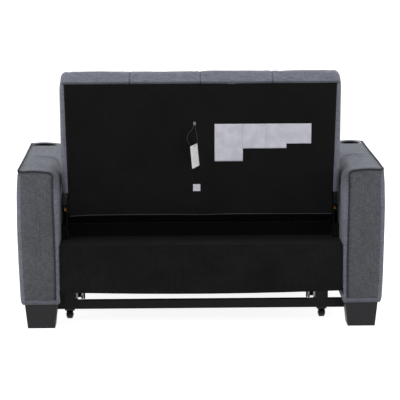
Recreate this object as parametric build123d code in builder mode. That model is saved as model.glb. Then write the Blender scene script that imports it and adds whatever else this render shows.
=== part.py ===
from build123d import *
import os
from math import cos, radians, sin, tan

# Two-seat sleeper sofa, in millimetres. The seat faces -Y, the origin is on the floor
# below the middle of the arms, and the sitter's left is +X.

# Arms
arm_depth = 820.0
arm_top = 572.0
arm_inner = 504.0
arm_width = 146.0
arm_bulge = 3.0
arm_tuck = 6.0
arm_shoulder = 35.0
arm_end_round = 12.0
arm_padding_side = 10.0
arm_padding_end = 12.0
arm_padding_top = 20.0
arm_board = 18.0
arm_panel = 12.0
arm_bays = 3
dust_cover = 1.5

# Cup holders
cup_inset_side = 56.5
cup_inset_front = 60.0
cup_bore = 38.0
cup_wall = 2.5
cup_depth = 62.0
cup_flange = 46.0
cup_flange_thickness = 2.5

# Legs
leg_height = 87.0
leg_taper = 18.0
leg_corner = 4.0
leg_inset_inner = 11.5
leg_inset_outer = 18.5
leg_inset_end = 70.0
leg_bolt = 4.0
leg_bolt_reach = 27.0
nut_radius = 8.0
nut_height = 6.0

# Seat box
board = 18.0
box_front = -375.0
box_inset_back = 27.0
box_low = 135.0
box_rear_drop = 59.0
deck_thickness = 12.0
deck_top = 345.0
riser_thickness = 15.0
post_rise = 5.0
post_air = 2.0
post_depth = 63.0
cover_thickness = 1.5
cover_low = 133.0
cover_sag = 5.0
box_bolt = 4.0
box_bolt_head = 9.0
box_bolt_head_height = 4.0
box_bolt_places = ((-300.0, 262.0), (0.0, 262.0), (300.0, 220.0))

# Seat pads
seat_side_air = 2.0
seat_front = -392.0
seat_back = 185.0
pad_thickness = 65.0
flap_thickness = 79.5
pad_round = 10.0
seam_places = (-255.0, 0.0, 250.0)

# Hinges of the folding pad
fold_axis_y = -395.0
fold_barrel = 5.0
fold_pin = 2.5
fold_leaf = 1.5
fold_leaf_reach = 40.0
fold_half = 30.0
fold_middle = 10.0
fold_places = (-330.0, 0.0, 330.0)

# Backrest, measured from the recline pivot, up along it and towards its rear face
pivot_air = 3.0
pivot_drop = 8.7
back_lean = 10.4
back_low = 13.0
back_step_air = 3.0
back_high = 525.0
back_side_air = 4.0
back_rear = 99.3
back_thickness = 115.0
back_side_bow = 3.0
back_frame_inset = 8.9
back_frame_low = 22.0
back_frame_high = 488.0
back_frame_depth = 25.0
back_batten = 50.0
back_post = 50.0
cheek_front = -6.0
cheek_high = 90.0
back_cover_low_inset = 5.9
back_cover_high_inset = 14.0
back_cover_high = 489.7

# Recline hinges
leaf = 3.0
leaf_gap = 0.5
leaf_radius = 22.0
leaf_foot_drop = 149.3
leaf_foot_width = 33.0
leaf_foot_shift = 5.5
leaf_arm = 92.0
leaf_arm_width = 30.0
ratchet_teeth = 9
ratchet_tooth = 2.5
pivot_pin = 6.0
pivot_head = 9.0
pivot_head_height = 4.0
pivot_nut_height = 8.0
leaf_bolt = 3.5
leaf_bolt_head = 7.0
leaf_bolt_head_height = 4.0
lower_bolt_shift = 4.0
lower_bolt_drops = (76.3, 127.3)
upper_bolt_insets = (42.0, 14.0)
upper_bolt_reach = 38.0

# Pull-out frame
frame_shift = 18.0
tube_wall = 1.5
cross_overhang = 40.0
front_cross_air = 7.7
cross_width = 30.0
cross_low = 37.0
cross_high = 68.0
cross_rear_y = 210.0
cross_front_y = -360.0
member_inset = 64.0
member_width = 44.0
member_high = 118.0
frame_front = -385.0
frame_back_inset = 20.0
upright = 25.0
support_air = 3.0
drain_hole = 3.0
slat_count = 5
slat_width = 40.0
slat_thickness = 8.0

# Slides
channel_air = 10.0
channel_width = 16.0
channel_low = 75.0
channel_high = 115.0
channel_front = -355.0
channel_back = 196.0
slide_wall = 2.0
slide_play = 0.3
slide_web_air = 6.0
slide_front = -330.0
hanger_width = 20.0
hanger_thickness = 3.0
hanger_front_y = -345.0
hanger_back_y = 186.0
hanger_level = 125.0
hanger_top = 175.0

# Front panel
panel_side_air = 4.5
panel_low = 96.0
panel_face = -404.0
panel_board = 12.0
panel_padding = 7.0
panel_round = 6.0
strap_width = 38.0
strap_length = 110.0
strap_thickness = 2.7

# Casters
wheel_radius = 15.0
wheel_width = 18.6
caster_inset = 23.0
fork_plate = 36.0
fork_plate_thickness = 6.0
fork_ear = 2.4
fork_depth = 26.0
fork_drop = 7.0
fork_play = 0.3
axle_radius = 3.0
axle_head = 4.5
axle_head_height = 1.5

# Labels and tag on the rear cover, measured like the backrest
label_thickness = 0.4
label_top = 352.5
label_edges = (50.0, 150.0, 231.0, 305.0, 393.0)
label_bottoms = (214.2, 261.5, 261.5, 278.3)
size_label = 26.0
size_label_x = -14.0
size_label_up = 115.0
seal_x = 21.0
seal_up = 355.5
seal_width = 9.0
seal_height = 11.0
seal_thickness = 4.7
tag_width = 46.0
tag_height = 82.0
tag_thickness = 0.6
tag_turn = 56.0
tag_tilt = 9.0
tag_eye = 2.2
tag_eye_drop = 6.0
tag_corner = 2.0
string_radius = 0.5
string_play = 0.3
tag_hang = (24.0, 378.0, 652.0)
string_route = (
    (23.0, 373.2, 726.6), (24.6, 373.5, 720.0), (31.0, 374.2, 709.5), (40.5, 375.0, 700.0),
    (47.5, 375.8, 689.0), (48.5, 376.2, 676.0), (44.0, 376.3, 664.5), (36.0, 375.6, 656.0),
    (28.2, 375.2, 652.0), (19.8, 380.8, 652.0), (14.0, 382.5, 659.0), (12.0, 380.5, 671.0),
    (12.4, 378.0, 684.0), (14.6, 376.0, 698.0), (17.2, 374.4, 711.0), (19.0, 373.4, 720.5),
    (19.3, 373.2, 726.6),
)

# Clearances
seat_gap = 0.3
run_gap = 0.05
hole_gap = 0.3
overrun = 5.0

# Outlines as shares of the sizes that they follow. Each row of a cushion table is one
# section: place along the cushion, half width, flat side, seam and crest of the padding.
upper_back_shares = (
    (0.00, 0.990, 0.00, 0.86, 0.97), (0.35, 1.000, 0.00, 0.85, 1.00),
    (0.80, 1.000, 0.00, 0.83, 0.97), (0.94, 0.994, 0.02, 0.74, 0.86),
    (0.985, 0.975, 0.12, 0.60, 0.70), (1.00, 0.945, 0.27, 0.46, 0.52),
)
lower_back_shares = (
    (0.00, 0.985, 0.03, 0.80, 0.88), (0.30, 1.000, 0.00, 0.86, 0.96),
    (1.00, 1.000, 0.00, 0.86, 0.97),
)
flap_shares = (
    (0.00, 0.985, 0.14, 0.55, 0.62), (0.02, 0.994, 0.00, 0.76, 0.86),
    (0.10, 1.000, 0.00, 0.86, 0.985), (0.50, 1.000, 0.00, 0.88, 1.00),
    (0.92, 1.000, 0.00, 0.86, 0.985), (1.00, 0.990, 0.06, 0.70, 0.80),
)
route_radius_share = 0.45

# Sizes that follow from the ones above
half_depth = arm_depth / 2
arm_outer = arm_inner + arm_width
cup_x = arm_outer - cup_inset_side
cup_y = cup_inset_front - half_depth
leg_top = arm_width - leg_inset_inner - leg_inset_outer
leg_foot = leg_top - leg_taper
leg_x = arm_inner + leg_inset_inner + leg_top / 2
leg_y = half_depth - leg_inset_end
side_outer = arm_inner - seat_gap
side_inner = side_outer - board
seat_half = arm_inner - seat_side_air
panel_half = arm_inner - panel_side_air
lower_leaf_inner = side_inner - leaf
upper_leaf_outer = lower_leaf_inner - leaf_gap
upper_leaf_inner = upper_leaf_outer - leaf
back_half = arm_inner - back_side_air
back_low_half = upper_leaf_inner - seat_gap
back_frame_half = back_low_half - back_frame_inset
back_cover_low_half = back_low_half - back_cover_low_inset
back_cover_high_half = back_half - back_cover_high_inset
back_step = leaf_arm + back_step_air
deck_half = lower_leaf_inner - 2 * leaf_gap
deck_low = deck_top - deck_thickness
bed_level = deck_top + pad_thickness
pivot_y = seat_back + pivot_air + leaf_radius
pivot_z = bed_level - pivot_drop
leaf_foot = pivot_z - leaf_foot_drop
lower_bolt_y = pivot_y + lower_bolt_shift
lower_bolt_heights = [pivot_z - drop for drop in lower_bolt_drops]
upper_bolt_heights = [leaf_arm - inset for inset in upper_bolt_insets]
post_top = deck_top + post_rise
post_front = seat_back + post_air
post_back = post_front + post_depth
box_back = half_depth - box_inset_back
box_rear_top = deck_top - box_rear_drop
rear_deck_top = box_rear_top + deck_thickness
cover_top = rear_deck_top + seat_gap + cover_thickness
rail_back = box_back + seat_gap + board
cover_back = rail_back + seat_gap + cover_thickness
cushion_rear = back_rear - cover_thickness - seat_gap
cushion_depth = back_thickness - cover_thickness - seat_gap
wheel_level = wheel_radius
cross_half = arm_inner + cross_overhang
front_cross_half = side_inner - front_cross_air
member_inner = arm_inner - member_inset
member_outer = member_inner + member_width
caster_half = member_outer - caster_inset
frame_back = seat_back - frame_back_inset
support_top = deck_low - support_air
channel_outer = member_inner - channel_air
channel_inner = channel_outer - channel_width
slide_reach = channel_inner + slide_web_air

back_up = Vector(0, sin(radians(back_lean)), cos(radians(back_lean)))
back_out = Vector(0, cos(radians(back_lean)), -sin(radians(back_lean)))
pivot = Vector(0, pivot_y, pivot_z)
back_base = Plane(origin=pivot, x_dir=(1, 0, 0), z_dir=back_up)

os.makedirs("parts", exist_ok=True)


def back_section(up):
    """Plane across the backrest, a height above the pivot: x across it, y to its rear."""
    return Plane(origin=pivot + back_up * up, x_dir=(1, 0, 0), z_dir=back_up)


def back_face(out):
    """Plane along the backrest, seen from behind: x to the viewer's right, y up."""
    return Plane(origin=pivot + back_out * out, x_dir=(-1, 0, 0), z_dir=back_out)


def slab(x, y, z, mode=Mode.ADD):
    """Add or cut a block between the low and high ends of x, y and z."""
    with Locations(((x[0] + x[1]) / 2, (y[0] + y[1]) / 2, (z[0] + z[1]) / 2)):
        Box(abs(x[1] - x[0]), abs(y[1] - y[0]), abs(z[1] - z[0]), mode=mode)


def rod(radius, x, y, z, mode=Mode.ADD):
    """Add or cut a round bar along X, between the two ends of x."""
    with Locations(((x[0] + x[1]) / 2, y, z)):
        Cylinder(radius, abs(x[1] - x[0]), rotation=(0, 90, 0), mode=mode)


def upright_rod(radius, x, y, z, mode=Mode.ADD):
    """Add or cut a round bar along Z, between the two ends of z."""
    with Locations((x, y, (z[0] + z[1]) / 2)):
        Cylinder(radius, abs(z[1] - z[0]), mode=mode)


def tube(x, y, z, along):
    """Square steel tube with welded end plates, and a drain hole in its underside."""
    slab(x, y, z)
    inside = [[s[0] + tube_wall, s[1] - tube_wall] for s in (x, y, z)]
    slab(*inside, mode=Mode.SUBTRACT)
    middle = [(s[0] + s[1]) / 2 for s in (x, y, z)]
    if along == "z":
        rod(drain_hole, (x[0] - overrun, x[0] + tube_wall + overrun), middle[1], middle[2],
            mode=Mode.SUBTRACT)
    else:
        low = (z[0] - overrun, z[0] + tube_wall + overrun)
        upright_rod(drain_hole, middle[0], middle[1], low, mode=Mode.SUBTRACT)


def padding_line(half, flat, seam, crest, seams):
    """Closed outline of a channelled cushion: a flat side, bowed ends, arcs between seams."""
    stops = (-half, *seams, half)
    for start, end in zip(stops, stops[1:]):
        ThreePointArc((start, seam), ((start + end) / 2, crest), (end, seam))
    middle = (seam + flat) / 2
    ThreePointArc((half, seam), (half + back_side_bow, middle), (half, flat))
    Line((half, flat), (-half, flat))
    ThreePointArc((-half, flat), (-half - back_side_bow, middle), (-half, seam))


def save(builder, label):
    """Name the finished piece and write it to its own file."""
    builder.part.label = label
    export_step(builder.part, f"parts/{label}.step")


def keep_side(side):
    """Turn a piece made for the +X side into its mirror image, if the side asks for it."""
    if side == "right":
        mirror(about=Plane.YZ, mode=Mode.REPLACE)


def keep_frame_side(side):
    """The same for the pull-out frame, which sits a little to one side."""
    if side == "right":
        mirror(about=Plane.YZ.offset(frame_shift), mode=Mode.REPLACE)


# Arms: padding, wooden frame, cup holder and legs
hollow_x = (arm_inner + arm_padding_side, arm_outer - arm_padding_side)
hollow_y = (-half_depth + arm_padding_end, half_depth - arm_padding_end)
hollow_top = arm_top - arm_padding_top
frame_x = (hollow_x[0] + seat_gap, hollow_x[1] - seat_gap)
frame_y = (hollow_y[0] + seat_gap, hollow_y[1] - seat_gap)
frame_z = (leg_height + dust_cover, hollow_top - seat_gap)
cup_outer = cup_bore + cup_wall
cup_low = arm_top - cup_depth

for side in ("left", "right"):
    with BuildPart() as arm_pad:
        with BuildSketch(Plane.XZ):
            with BuildLine():
                inner = Line((arm_inner, leg_height), (arm_inner, arm_top - arm_shoulder))
                shoulder = TangentArc(inner @ 1, (arm_inner + arm_shoulder, arm_top),
                                      tangent=inner % 1)
                top = Line(shoulder @ 1, (arm_outer, arm_top))
                belly = (arm_outer + arm_bulge, (arm_top + leg_height) / 2)
                ThreePointArc(top @ 1, belly, (arm_outer - arm_tuck, leg_height))
                Line((arm_outer - arm_tuck, leg_height), inner @ 0)
            make_face()
        extrude(amount=half_depth, both=True)
        ends = arm_pad.faces().filter_by(Axis.Y).edges()
        rim = ends.filter_by(lambda e: e.center().X < arm_outer and e.center().Z > leg_height + overrun)
        fillet(rim, radius=arm_end_round)
        slab(hollow_x, hollow_y, (leg_height - overrun, hollow_top), mode=Mode.SUBTRACT)
        upright_rod(cup_outer + hole_gap, cup_x, cup_y, (hollow_top - overrun, arm_top + overrun),
                    mode=Mode.SUBTRACT)
        for bolt_y, bolt_z in box_bolt_places:
            rod(box_bolt + hole_gap, (arm_inner - overrun, hollow_x[0] + overrun), bolt_y, bolt_z,
                mode=Mode.SUBTRACT)
        keep_side(side)
    save(arm_pad, f"arm_pad_{side}")

    with BuildPart() as arm_frame:
        slab(frame_x, frame_y, frame_z)
        bay = (frame_y[1] - frame_y[0] - (arm_bays + 1) * arm_board) / arm_bays
        for index in range(arm_bays):
            start = frame_y[0] + arm_board + index * (bay + arm_board)
            slab((frame_x[0] + arm_panel, frame_x[1] + overrun), (start, start + bay),
                 (frame_z[0] + arm_board, frame_z[1] - arm_board), mode=Mode.SUBTRACT)
        upright_rod(cup_outer + hole_gap, cup_x, cup_y, (cup_low - hole_gap, frame_z[1] + overrun),
                    mode=Mode.SUBTRACT)
        for end in (-1, 1):
            upright_rod(leg_bolt + hole_gap, leg_x, end * leg_y,
                        (frame_z[0] - overrun, frame_z[0] + arm_board + overrun), mode=Mode.SUBTRACT)
        for bolt_y, bolt_z in box_bolt_places:
            rod(box_bolt + hole_gap, (frame_x[0] - overrun, frame_x[0] + arm_panel + overrun),
                bolt_y, bolt_z, mode=Mode.SUBTRACT)
        keep_side(side)
    save(arm_frame, f"arm_frame_{side}")

    with BuildPart() as cup_holder:
        upright_rod(cup_outer, cup_x, cup_y, (cup_low, arm_top))
        upright_rod(cup_flange, cup_x, cup_y, (arm_top, arm_top + cup_flange_thickness))
        upright_rod(cup_bore, cup_x, cup_y, (cup_low + cup_wall, arm_top + overrun),
                    mode=Mode.SUBTRACT)
        keep_side(side)
    save(cup_holder, f"cup_holder_{side}")

    for end, place in (("front", -leg_y), ("rear", leg_y)):
        with BuildPart() as leg:
            for level, width in ((0, leg_foot), (leg_height, leg_top)):
                with BuildSketch(Plane.XY.offset(level)):
                    with Locations((leg_x, place)):
                        RectangleRounded(width, width, leg_corner)
            loft()
            upright_rod(leg_bolt + hole_gap, leg_x, place,
                        (leg_height - leg_bolt_reach, leg_height + overrun), mode=Mode.SUBTRACT)
            keep_side(side)
        save(leg, f"leg_{end}_{side}")

with BuildPart() as dust_covers:
    slab(frame_x, frame_y, (leg_height, leg_height + dust_cover))
    for end in (-1, 1):
        upright_rod(leg_bolt + hole_gap, leg_x, end * leg_y,
                    (leg_height - overrun, leg_height + overrun), mode=Mode.SUBTRACT)
    mirror(about=Plane.YZ)
save(dust_covers, "arm_dust_covers")

# Seat box: boards, decks, black cover, and the bolts of the box and the legs
for side in ("left", "right"):
    with BuildPart() as side_board:
        with BuildSketch(Plane.YZ.offset(side_inner)):
            Polygon(
                (box_front, box_low), (box_back, box_low), (box_back, box_rear_top - seat_gap),
                (post_back, box_rear_top - seat_gap), (post_back, post_top), (post_front, post_top),
                (post_front, deck_low), (box_front, deck_low), align=None)
        extrude(amount=board)
        for bolt_y, bolt_z in box_bolt_places:
            rod(box_bolt + hole_gap, (side_inner - overrun, side_outer + overrun), bolt_y, bolt_z,
                mode=Mode.SUBTRACT)
            rod(box_bolt_head + hole_gap,
                (side_inner - overrun, side_inner + box_bolt_head_height + hole_gap),
                bolt_y, bolt_z, mode=Mode.SUBTRACT)
        for bolt_z in lower_bolt_heights:
            rod(leaf_bolt + hole_gap, (side_inner - overrun, side_outer + overrun),
                lower_bolt_y, bolt_z, mode=Mode.SUBTRACT)
        keep_side(side)
    save(side_board, f"side_board_{side}")

with BuildPart() as frame_bolts:
    bolt_low = leg_height - leg_bolt_reach + hole_gap
    nut_low = frame_z[0] + arm_board
    for end in (-1, 1):
        upright_rod(leg_bolt, leg_x, end * leg_y, (bolt_low, nut_low + nut_height))
        upright_rod(nut_radius, leg_x, end * leg_y, (nut_low, nut_low + nut_height))
    for bolt_y, bolt_z in box_bolt_places:
        head = side_inner + hole_gap
        shank = head + box_bolt_head_height
        nut = frame_x[0] + arm_panel + hole_gap
        rod(box_bolt_head, (head, shank), bolt_y, bolt_z)
        rod(box_bolt, (shank, nut + nut_height), bolt_y, bolt_z)
        rod(nut_radius, (nut, nut + nut_height), bolt_y, bolt_z)
    mirror(about=Plane.YZ)
save(frame_bolts, "frame_bolts")

with BuildPart() as rear_rail:
    slab((-side_outer, side_outer), (box_back + seat_gap, rail_back),
         (box_low, box_rear_top - seat_gap))
save(rear_rail, "rear_rail")

with BuildPart() as rear_deck:
    slab((-deck_half, deck_half), (seat_back - riser_thickness, rail_back),
         (box_rear_top, rear_deck_top))
    slab((-deck_half, deck_half), (seat_back - riser_thickness, seat_back),
         (rear_deck_top, deck_low))
save(rear_deck, "rear_deck")

with BuildPart() as front_deck:
    slab((-side_outer, side_outer), (box_front, seat_back), (deck_low, deck_top))
save(front_deck, "front_deck")

with BuildPart() as rail_cover:
    with BuildSketch(Plane.XZ.offset(-cover_back)):
        with BuildLine():
            Polyline((-side_outer, cover_low), (-side_outer, cover_top), (side_outer, cover_top),
                     (side_outer, cover_low))
            ThreePointArc((side_outer, cover_low), (0, cover_low - cover_sag),
                          (-side_outer, cover_low))
        make_face()
    extrude(amount=cover_thickness)
    slab((-side_outer, side_outer), (post_back + overrun, cover_back),
         (cover_top - cover_thickness, cover_top))
    slab((-deck_half, deck_half), (seat_back + seat_gap, post_back + overrun),
         (cover_top - cover_thickness, cover_top))
save(rail_cover, "rail_cover")

# Seat pads and the hinges between them
with BuildPart() as seat_pad:
    slab((-seat_half, seat_half), (seat_front, seat_back),
         (deck_top + seat_gap, bed_level - seat_gap / 2))
    fillet(seat_pad.edges().filter_by(Axis.X), radius=pad_round)
    for place in fold_places:
        slab((place - fold_half - seat_gap, place + fold_half + seat_gap),
             (seat_front - overrun, fold_axis_y + fold_leaf_reach + seat_gap),
             (bed_level - 2 * seat_gap - fold_leaf, bed_level + overrun), mode=Mode.SUBTRACT)
save(seat_pad, "seat_pad")

with BuildPart() as seat_flap_pad:
    flap_low = bed_level + seat_gap / 2
    flap_height = flap_thickness - seat_gap / 2
    for along, half, flat, seam, crest in flap_shares:
        place = seat_front + along * (seat_back - seat_front)
        with BuildSketch(Plane.XZ.offset(-place)):
            with BuildLine():
                padding_line(half * seat_half - back_side_bow, flap_low + flat * flap_height,
                             flap_low + seam * flap_height, flap_low + crest * flap_height,
                             seam_places)
            make_face()
    loft(ruled=True)
    for place in fold_places:
        slab((place - fold_half - seat_gap, place + fold_half + seat_gap),
             (seat_front - overrun, fold_axis_y + fold_leaf_reach + seat_gap),
             (bed_level - overrun, bed_level + 2 * seat_gap + fold_leaf), mode=Mode.SUBTRACT)
save(seat_flap_pad, "seat_flap_pad")

barrel_room = fold_barrel + seat_gap
with BuildPart() as fold_leaves_lower:
    for place in fold_places:
        low = bed_level - seat_gap - fold_leaf
        slab((place - fold_half, place + fold_half), (fold_axis_y, fold_axis_y + fold_leaf_reach),
             (low, low + fold_leaf))
        for side in (-1, 1):
            ends = (place + side * fold_middle, place + side * fold_half)
            rod(fold_barrel, ends, fold_axis_y, bed_level)
        rod(barrel_room, (place - fold_middle, place + fold_middle), fold_axis_y, bed_level,
            mode=Mode.SUBTRACT)
        rod(fold_pin + run_gap, (place - fold_half - overrun, place + fold_half + overrun),
            fold_axis_y, bed_level, mode=Mode.SUBTRACT)
save(fold_leaves_lower, "fold_leaves_lower")

with BuildPart() as fold_leaves_upper:
    for place in fold_places:
        low = bed_level + seat_gap
        middle = fold_middle - seat_gap
        slab((place - fold_half, place + fold_half), (fold_axis_y, fold_axis_y + fold_leaf_reach),
             (low, low + fold_leaf))
        for side in (-1, 1):
            ends = (place + side * middle, place + side * (fold_half + overrun))
            rod(barrel_room, ends, fold_axis_y, bed_level, mode=Mode.SUBTRACT)
        rod(fold_barrel, (place - middle, place + middle), fold_axis_y, bed_level)
        rod(fold_pin + run_gap, (place - fold_half - overrun, place + fold_half + overrun),
            fold_axis_y, bed_level, mode=Mode.SUBTRACT)
save(fold_leaves_upper, "fold_leaves_upper")

with BuildPart() as fold_pins:
    for place in fold_places:
        rod(fold_pin, (place - fold_half, place + fold_half), fold_axis_y, bed_level)
save(fold_pins, "fold_pins")

# Recline hinges: toothed lower leaves, upper leaves, brass pivots and bolts
for side in ("left", "right"):
    with BuildPart() as lower_leaf:
        with BuildSketch(Plane.YZ.offset(lower_leaf_inner)):
            with Locations((pivot_y, pivot_z)):
                Circle(leaf_radius)
            with Locations((pivot_y + leaf_foot_shift, (leaf_foot + pivot_z) / 2)):
                Rectangle(leaf_foot_width, leaf_foot_drop)
            with Locations((pivot_y, pivot_z)):
                with PolarLocations(leaf_radius, ratchet_teeth, start_angle=0, angular_range=180):
                    Circle(ratchet_tooth, mode=Mode.SUBTRACT)
        extrude(amount=leaf)
        rod(pivot_pin + run_gap, (lower_leaf_inner - overrun, side_inner + overrun), pivot_y, pivot_z,
            mode=Mode.SUBTRACT)
        for bolt_z in lower_bolt_heights:
            rod(leaf_bolt + hole_gap, (lower_leaf_inner - overrun, side_inner + overrun),
                lower_bolt_y, bolt_z, mode=Mode.SUBTRACT)
        keep_side(side)
    save(lower_leaf, f"recline_leaf_lower_{side}")

    with BuildPart(back_base) as upper_leaf:
        with BuildSketch(Plane(origin=pivot + Vector(upper_leaf_inner, 0, 0), x_dir=back_up,
                               z_dir=(1, 0, 0))):
            Circle(leaf_radius)
            with Locations((leaf_arm / 2, 0)):
                Rectangle(leaf_arm, leaf_arm_width)
        extrude(amount=leaf)
        rod(pivot_pin + run_gap, (upper_leaf_inner - overrun, upper_leaf_outer + overrun), 0, 0,
            mode=Mode.SUBTRACT)
        for height in upper_bolt_heights:
            rod(leaf_bolt + hole_gap, (upper_leaf_inner - overrun, upper_leaf_outer + overrun),
                0, height, mode=Mode.SUBTRACT)
        keep_side(side)
    save(upper_leaf, f"recline_leaf_upper_{side}")

with BuildPart() as recline_pivots:
    nut_face = side_inner + seat_gap
    head_face = upper_leaf_inner - seat_gap
    rod(pivot_pin, (head_face, nut_face + pivot_nut_height), pivot_y, pivot_z)
    rod(pivot_head, (head_face - pivot_head_height, head_face), pivot_y, pivot_z)
    rod(nut_radius, (nut_face, nut_face + pivot_nut_height), pivot_y, pivot_z)
    mirror(about=Plane.YZ)
save(recline_pivots, "recline_pivots")

with BuildPart() as lower_leaf_bolts:
    head_face = lower_leaf_inner - seat_gap
    for bolt_z in lower_bolt_heights:
        rod(leaf_bolt_head, (head_face - leaf_bolt_head_height, head_face), lower_bolt_y, bolt_z)
        rod(leaf_bolt, (head_face, side_outer - seat_gap), lower_bolt_y, bolt_z)
    mirror(about=Plane.YZ)
save(lower_leaf_bolts, "recline_bolts_lower")

with BuildPart(back_base) as upper_leaf_bolts:
    head_face = upper_leaf_outer + seat_gap
    for height in upper_bolt_heights:
        rod(leaf_bolt_head, (head_face, head_face + leaf_bolt_head_height), 0, height)
        rod(leaf_bolt, (upper_leaf_inner - upper_bolt_reach, head_face), 0, height)
    mirror(about=Plane.YZ)
save(upper_leaf_bolts, "recline_bolts_upper")

# Backrest: frame, channelled cushion and black rear cover
frame_front_face = cushion_rear - seat_gap - back_frame_depth
cheek_x = (back_frame_half - upper_bolt_reach + hole_gap, back_frame_half)
with BuildPart(back_base) as back_frame:
    frame_rear_face = cushion_rear - seat_gap
    slab((-back_frame_half, back_frame_half), (frame_front_face, frame_rear_face),
         (back_frame_low, back_frame_high))
    for side in (-1, 1):
        slab(sorted((side * back_post / 2, side * (back_frame_half - back_batten))),
             (frame_front_face - overrun, frame_rear_face + overrun),
             (back_frame_low + back_batten, back_frame_high - back_batten), mode=Mode.SUBTRACT)
        slab(sorted((side * cheek_x[0], side * cheek_x[1])), (cheek_front, frame_front_face),
             (back_frame_low, cheek_high))
        for height in upper_bolt_heights:
            rod(leaf_bolt + hole_gap,
                (side * (upper_leaf_inner - upper_bolt_reach - hole_gap), side * upper_leaf_inner),
                0, height, mode=Mode.SUBTRACT)
save(back_frame, "back_frame")

with BuildPart(back_base) as back_cushion:
    for table, low, high, full in ((upper_back_shares, back_step, back_high, back_half),
                                   (lower_back_shares, back_low, back_step, back_low_half)):
        sections = []
        for along, half, flat, seam, crest in table:
            with BuildSketch(back_section(low + along * (high - low)), mode=Mode.PRIVATE) as section:
                with BuildLine():
                    padding_line(half * full - back_side_bow, cushion_rear - flat * cushion_depth,
                                 cushion_rear - seam * cushion_depth,
                                 cushion_rear - crest * cushion_depth, seam_places)
                make_face()
            sections.append(section.sketch)
        loft(sections, ruled=True)
    slab((-back_frame_half - seat_gap, back_frame_half + seat_gap),
         (frame_front_face - seat_gap, cushion_rear + overrun),
         (back_frame_low - seat_gap, back_frame_high + seat_gap), mode=Mode.SUBTRACT)
    for side in (-1, 1):
        slab(sorted((side * (cheek_x[0] - seat_gap), side * (cheek_x[1] + seat_gap))),
             (cheek_front - seat_gap, frame_front_face + overrun),
             (back_frame_low - seat_gap, cheek_high + seat_gap), mode=Mode.SUBTRACT)
        for height in upper_bolt_heights:
            rod(leaf_bolt + hole_gap, (side * back_frame_half, side * (back_half + overrun)),
                0, height, mode=Mode.SUBTRACT)
save(back_cushion, "back_cushion")

with BuildPart() as back_cover:
    with BuildSketch(back_face(back_rear - cover_thickness)):
        Polygon((-back_cover_low_half, back_low), (back_cover_low_half, back_low),
                (back_cover_high_half, back_cover_high), (-back_cover_high_half, back_cover_high),
                align=None)
    extrude(amount=cover_thickness)
save(back_cover, "back_cover")

# Blank labels, seal, string and tag on the rear cover
with BuildPart() as blank_labels:
    with BuildSketch(back_face(back_rear)):
        for start, end, bottom in zip(label_edges, label_edges[1:], label_bottoms):
            with Locations(((start + end) / 2, (label_top + bottom) / 2)):
                Rectangle(end - start, label_top - bottom)
        with Locations((size_label_x, size_label_up)):
            Rectangle(size_label, size_label)
    extrude(amount=label_thickness)
save(blank_labels, "blank_labels")

with BuildPart(back_base) as tag_seal:
    slab((seal_x - seal_width / 2, seal_x + seal_width / 2), (back_rear, back_rear + seal_thickness),
         (seal_up - seal_height / 2, seal_up + seal_height / 2))
save(tag_seal, "tag_seal")

turn = radians(tag_turn)
tilt = radians(tag_tilt)
tag_across = Vector(-cos(turn) * cos(tilt), -sin(turn) * cos(tilt), sin(tilt))
tag_normal = Vector(-sin(turn), cos(turn), 0)
eye_place = Vector(*tag_hang) - Vector(0, 0, 1) * (tag_eye - string_radius - string_play)
with BuildPart() as hang_tag:
    with BuildSketch(Plane(origin=eye_place, x_dir=tag_across, z_dir=tag_normal)):
        with Locations((0, tag_eye_drop - tag_height / 2)):
            RectangleRounded(tag_width, tag_height, tag_corner)
        Circle(tag_eye, mode=Mode.SUBTRACT)
    extrude(amount=tag_thickness / 2, both=True)
save(hang_tag, "hang_tag")

corners = [Vector(*point) for point in string_route]
runs = [(b - a).length for a, b in zip(corners, corners[1:])]
bends = []
for index in range(1, len(corners) - 1):
    turn_angle = (corners[index] - corners[index - 1]).get_angle(corners[index + 1] - corners[index])
    shorter = min(runs[index - 1], runs[index])
    bends.append(route_radius_share * shorter / tan(radians(turn_angle) / 2))
with BuildPart() as tag_string:
    with BuildLine() as string_line:
        FilletPolyline(*corners, radius=bends)
    with BuildSketch(Plane(origin=string_line.line @ 0, z_dir=string_line.line % 0)):
        Circle(string_radius)
    sweep()
save(tag_string, "tag_string")
string_length = sum(edge.length for edge in string_line.edges())
print("string bends", [round(bend, 1) for bend in bends], "length", round(string_length, 1))

# Pull-out frame: cross tubes, side members, uprights, top tubes and slats
for label, half, place in (("rear_cross_tube", cross_half, cross_rear_y),
                           ("front_cross_tube", front_cross_half, cross_front_y)):
    with BuildPart() as cross_tube:
        tube((frame_shift - half, frame_shift + half),
             (place - cross_width / 2, place + cross_width / 2), (cross_low, cross_high), "x")
    save(cross_tube, label)

support_low = support_top - upright
upright_x = (frame_shift + member_inner, frame_shift + member_inner + upright)
for side in ("left", "right"):
    with BuildPart() as side_member:
        tube((frame_shift + member_inner, frame_shift + member_outer),
             (frame_front, cross_rear_y + cross_width / 2), (cross_high, member_high), "y")
        keep_frame_side(side)
    save(side_member, f"side_member_{side}")

    with BuildPart() as top_tube:
        tube(upright_x, (frame_front, frame_back), (support_low, support_top), "y")
        keep_frame_side(side)
    save(top_tube, f"top_tube_{side}")

with BuildPart() as uprights:
    for start in (frame_front, frame_back - upright):
        tube(upright_x, (start, start + upright), (member_high, support_low), "z")
    mirror(about=Plane.YZ.offset(frame_shift))
save(uprights, "uprights")

with BuildPart() as top_cross_tubes:
    for start in (frame_front, frame_back - upright):
        tube((frame_shift - member_inner, frame_shift + member_inner), (start, start + upright),
             (support_low, support_top), "x")
save(top_cross_tubes, "top_cross_tubes")

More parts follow.
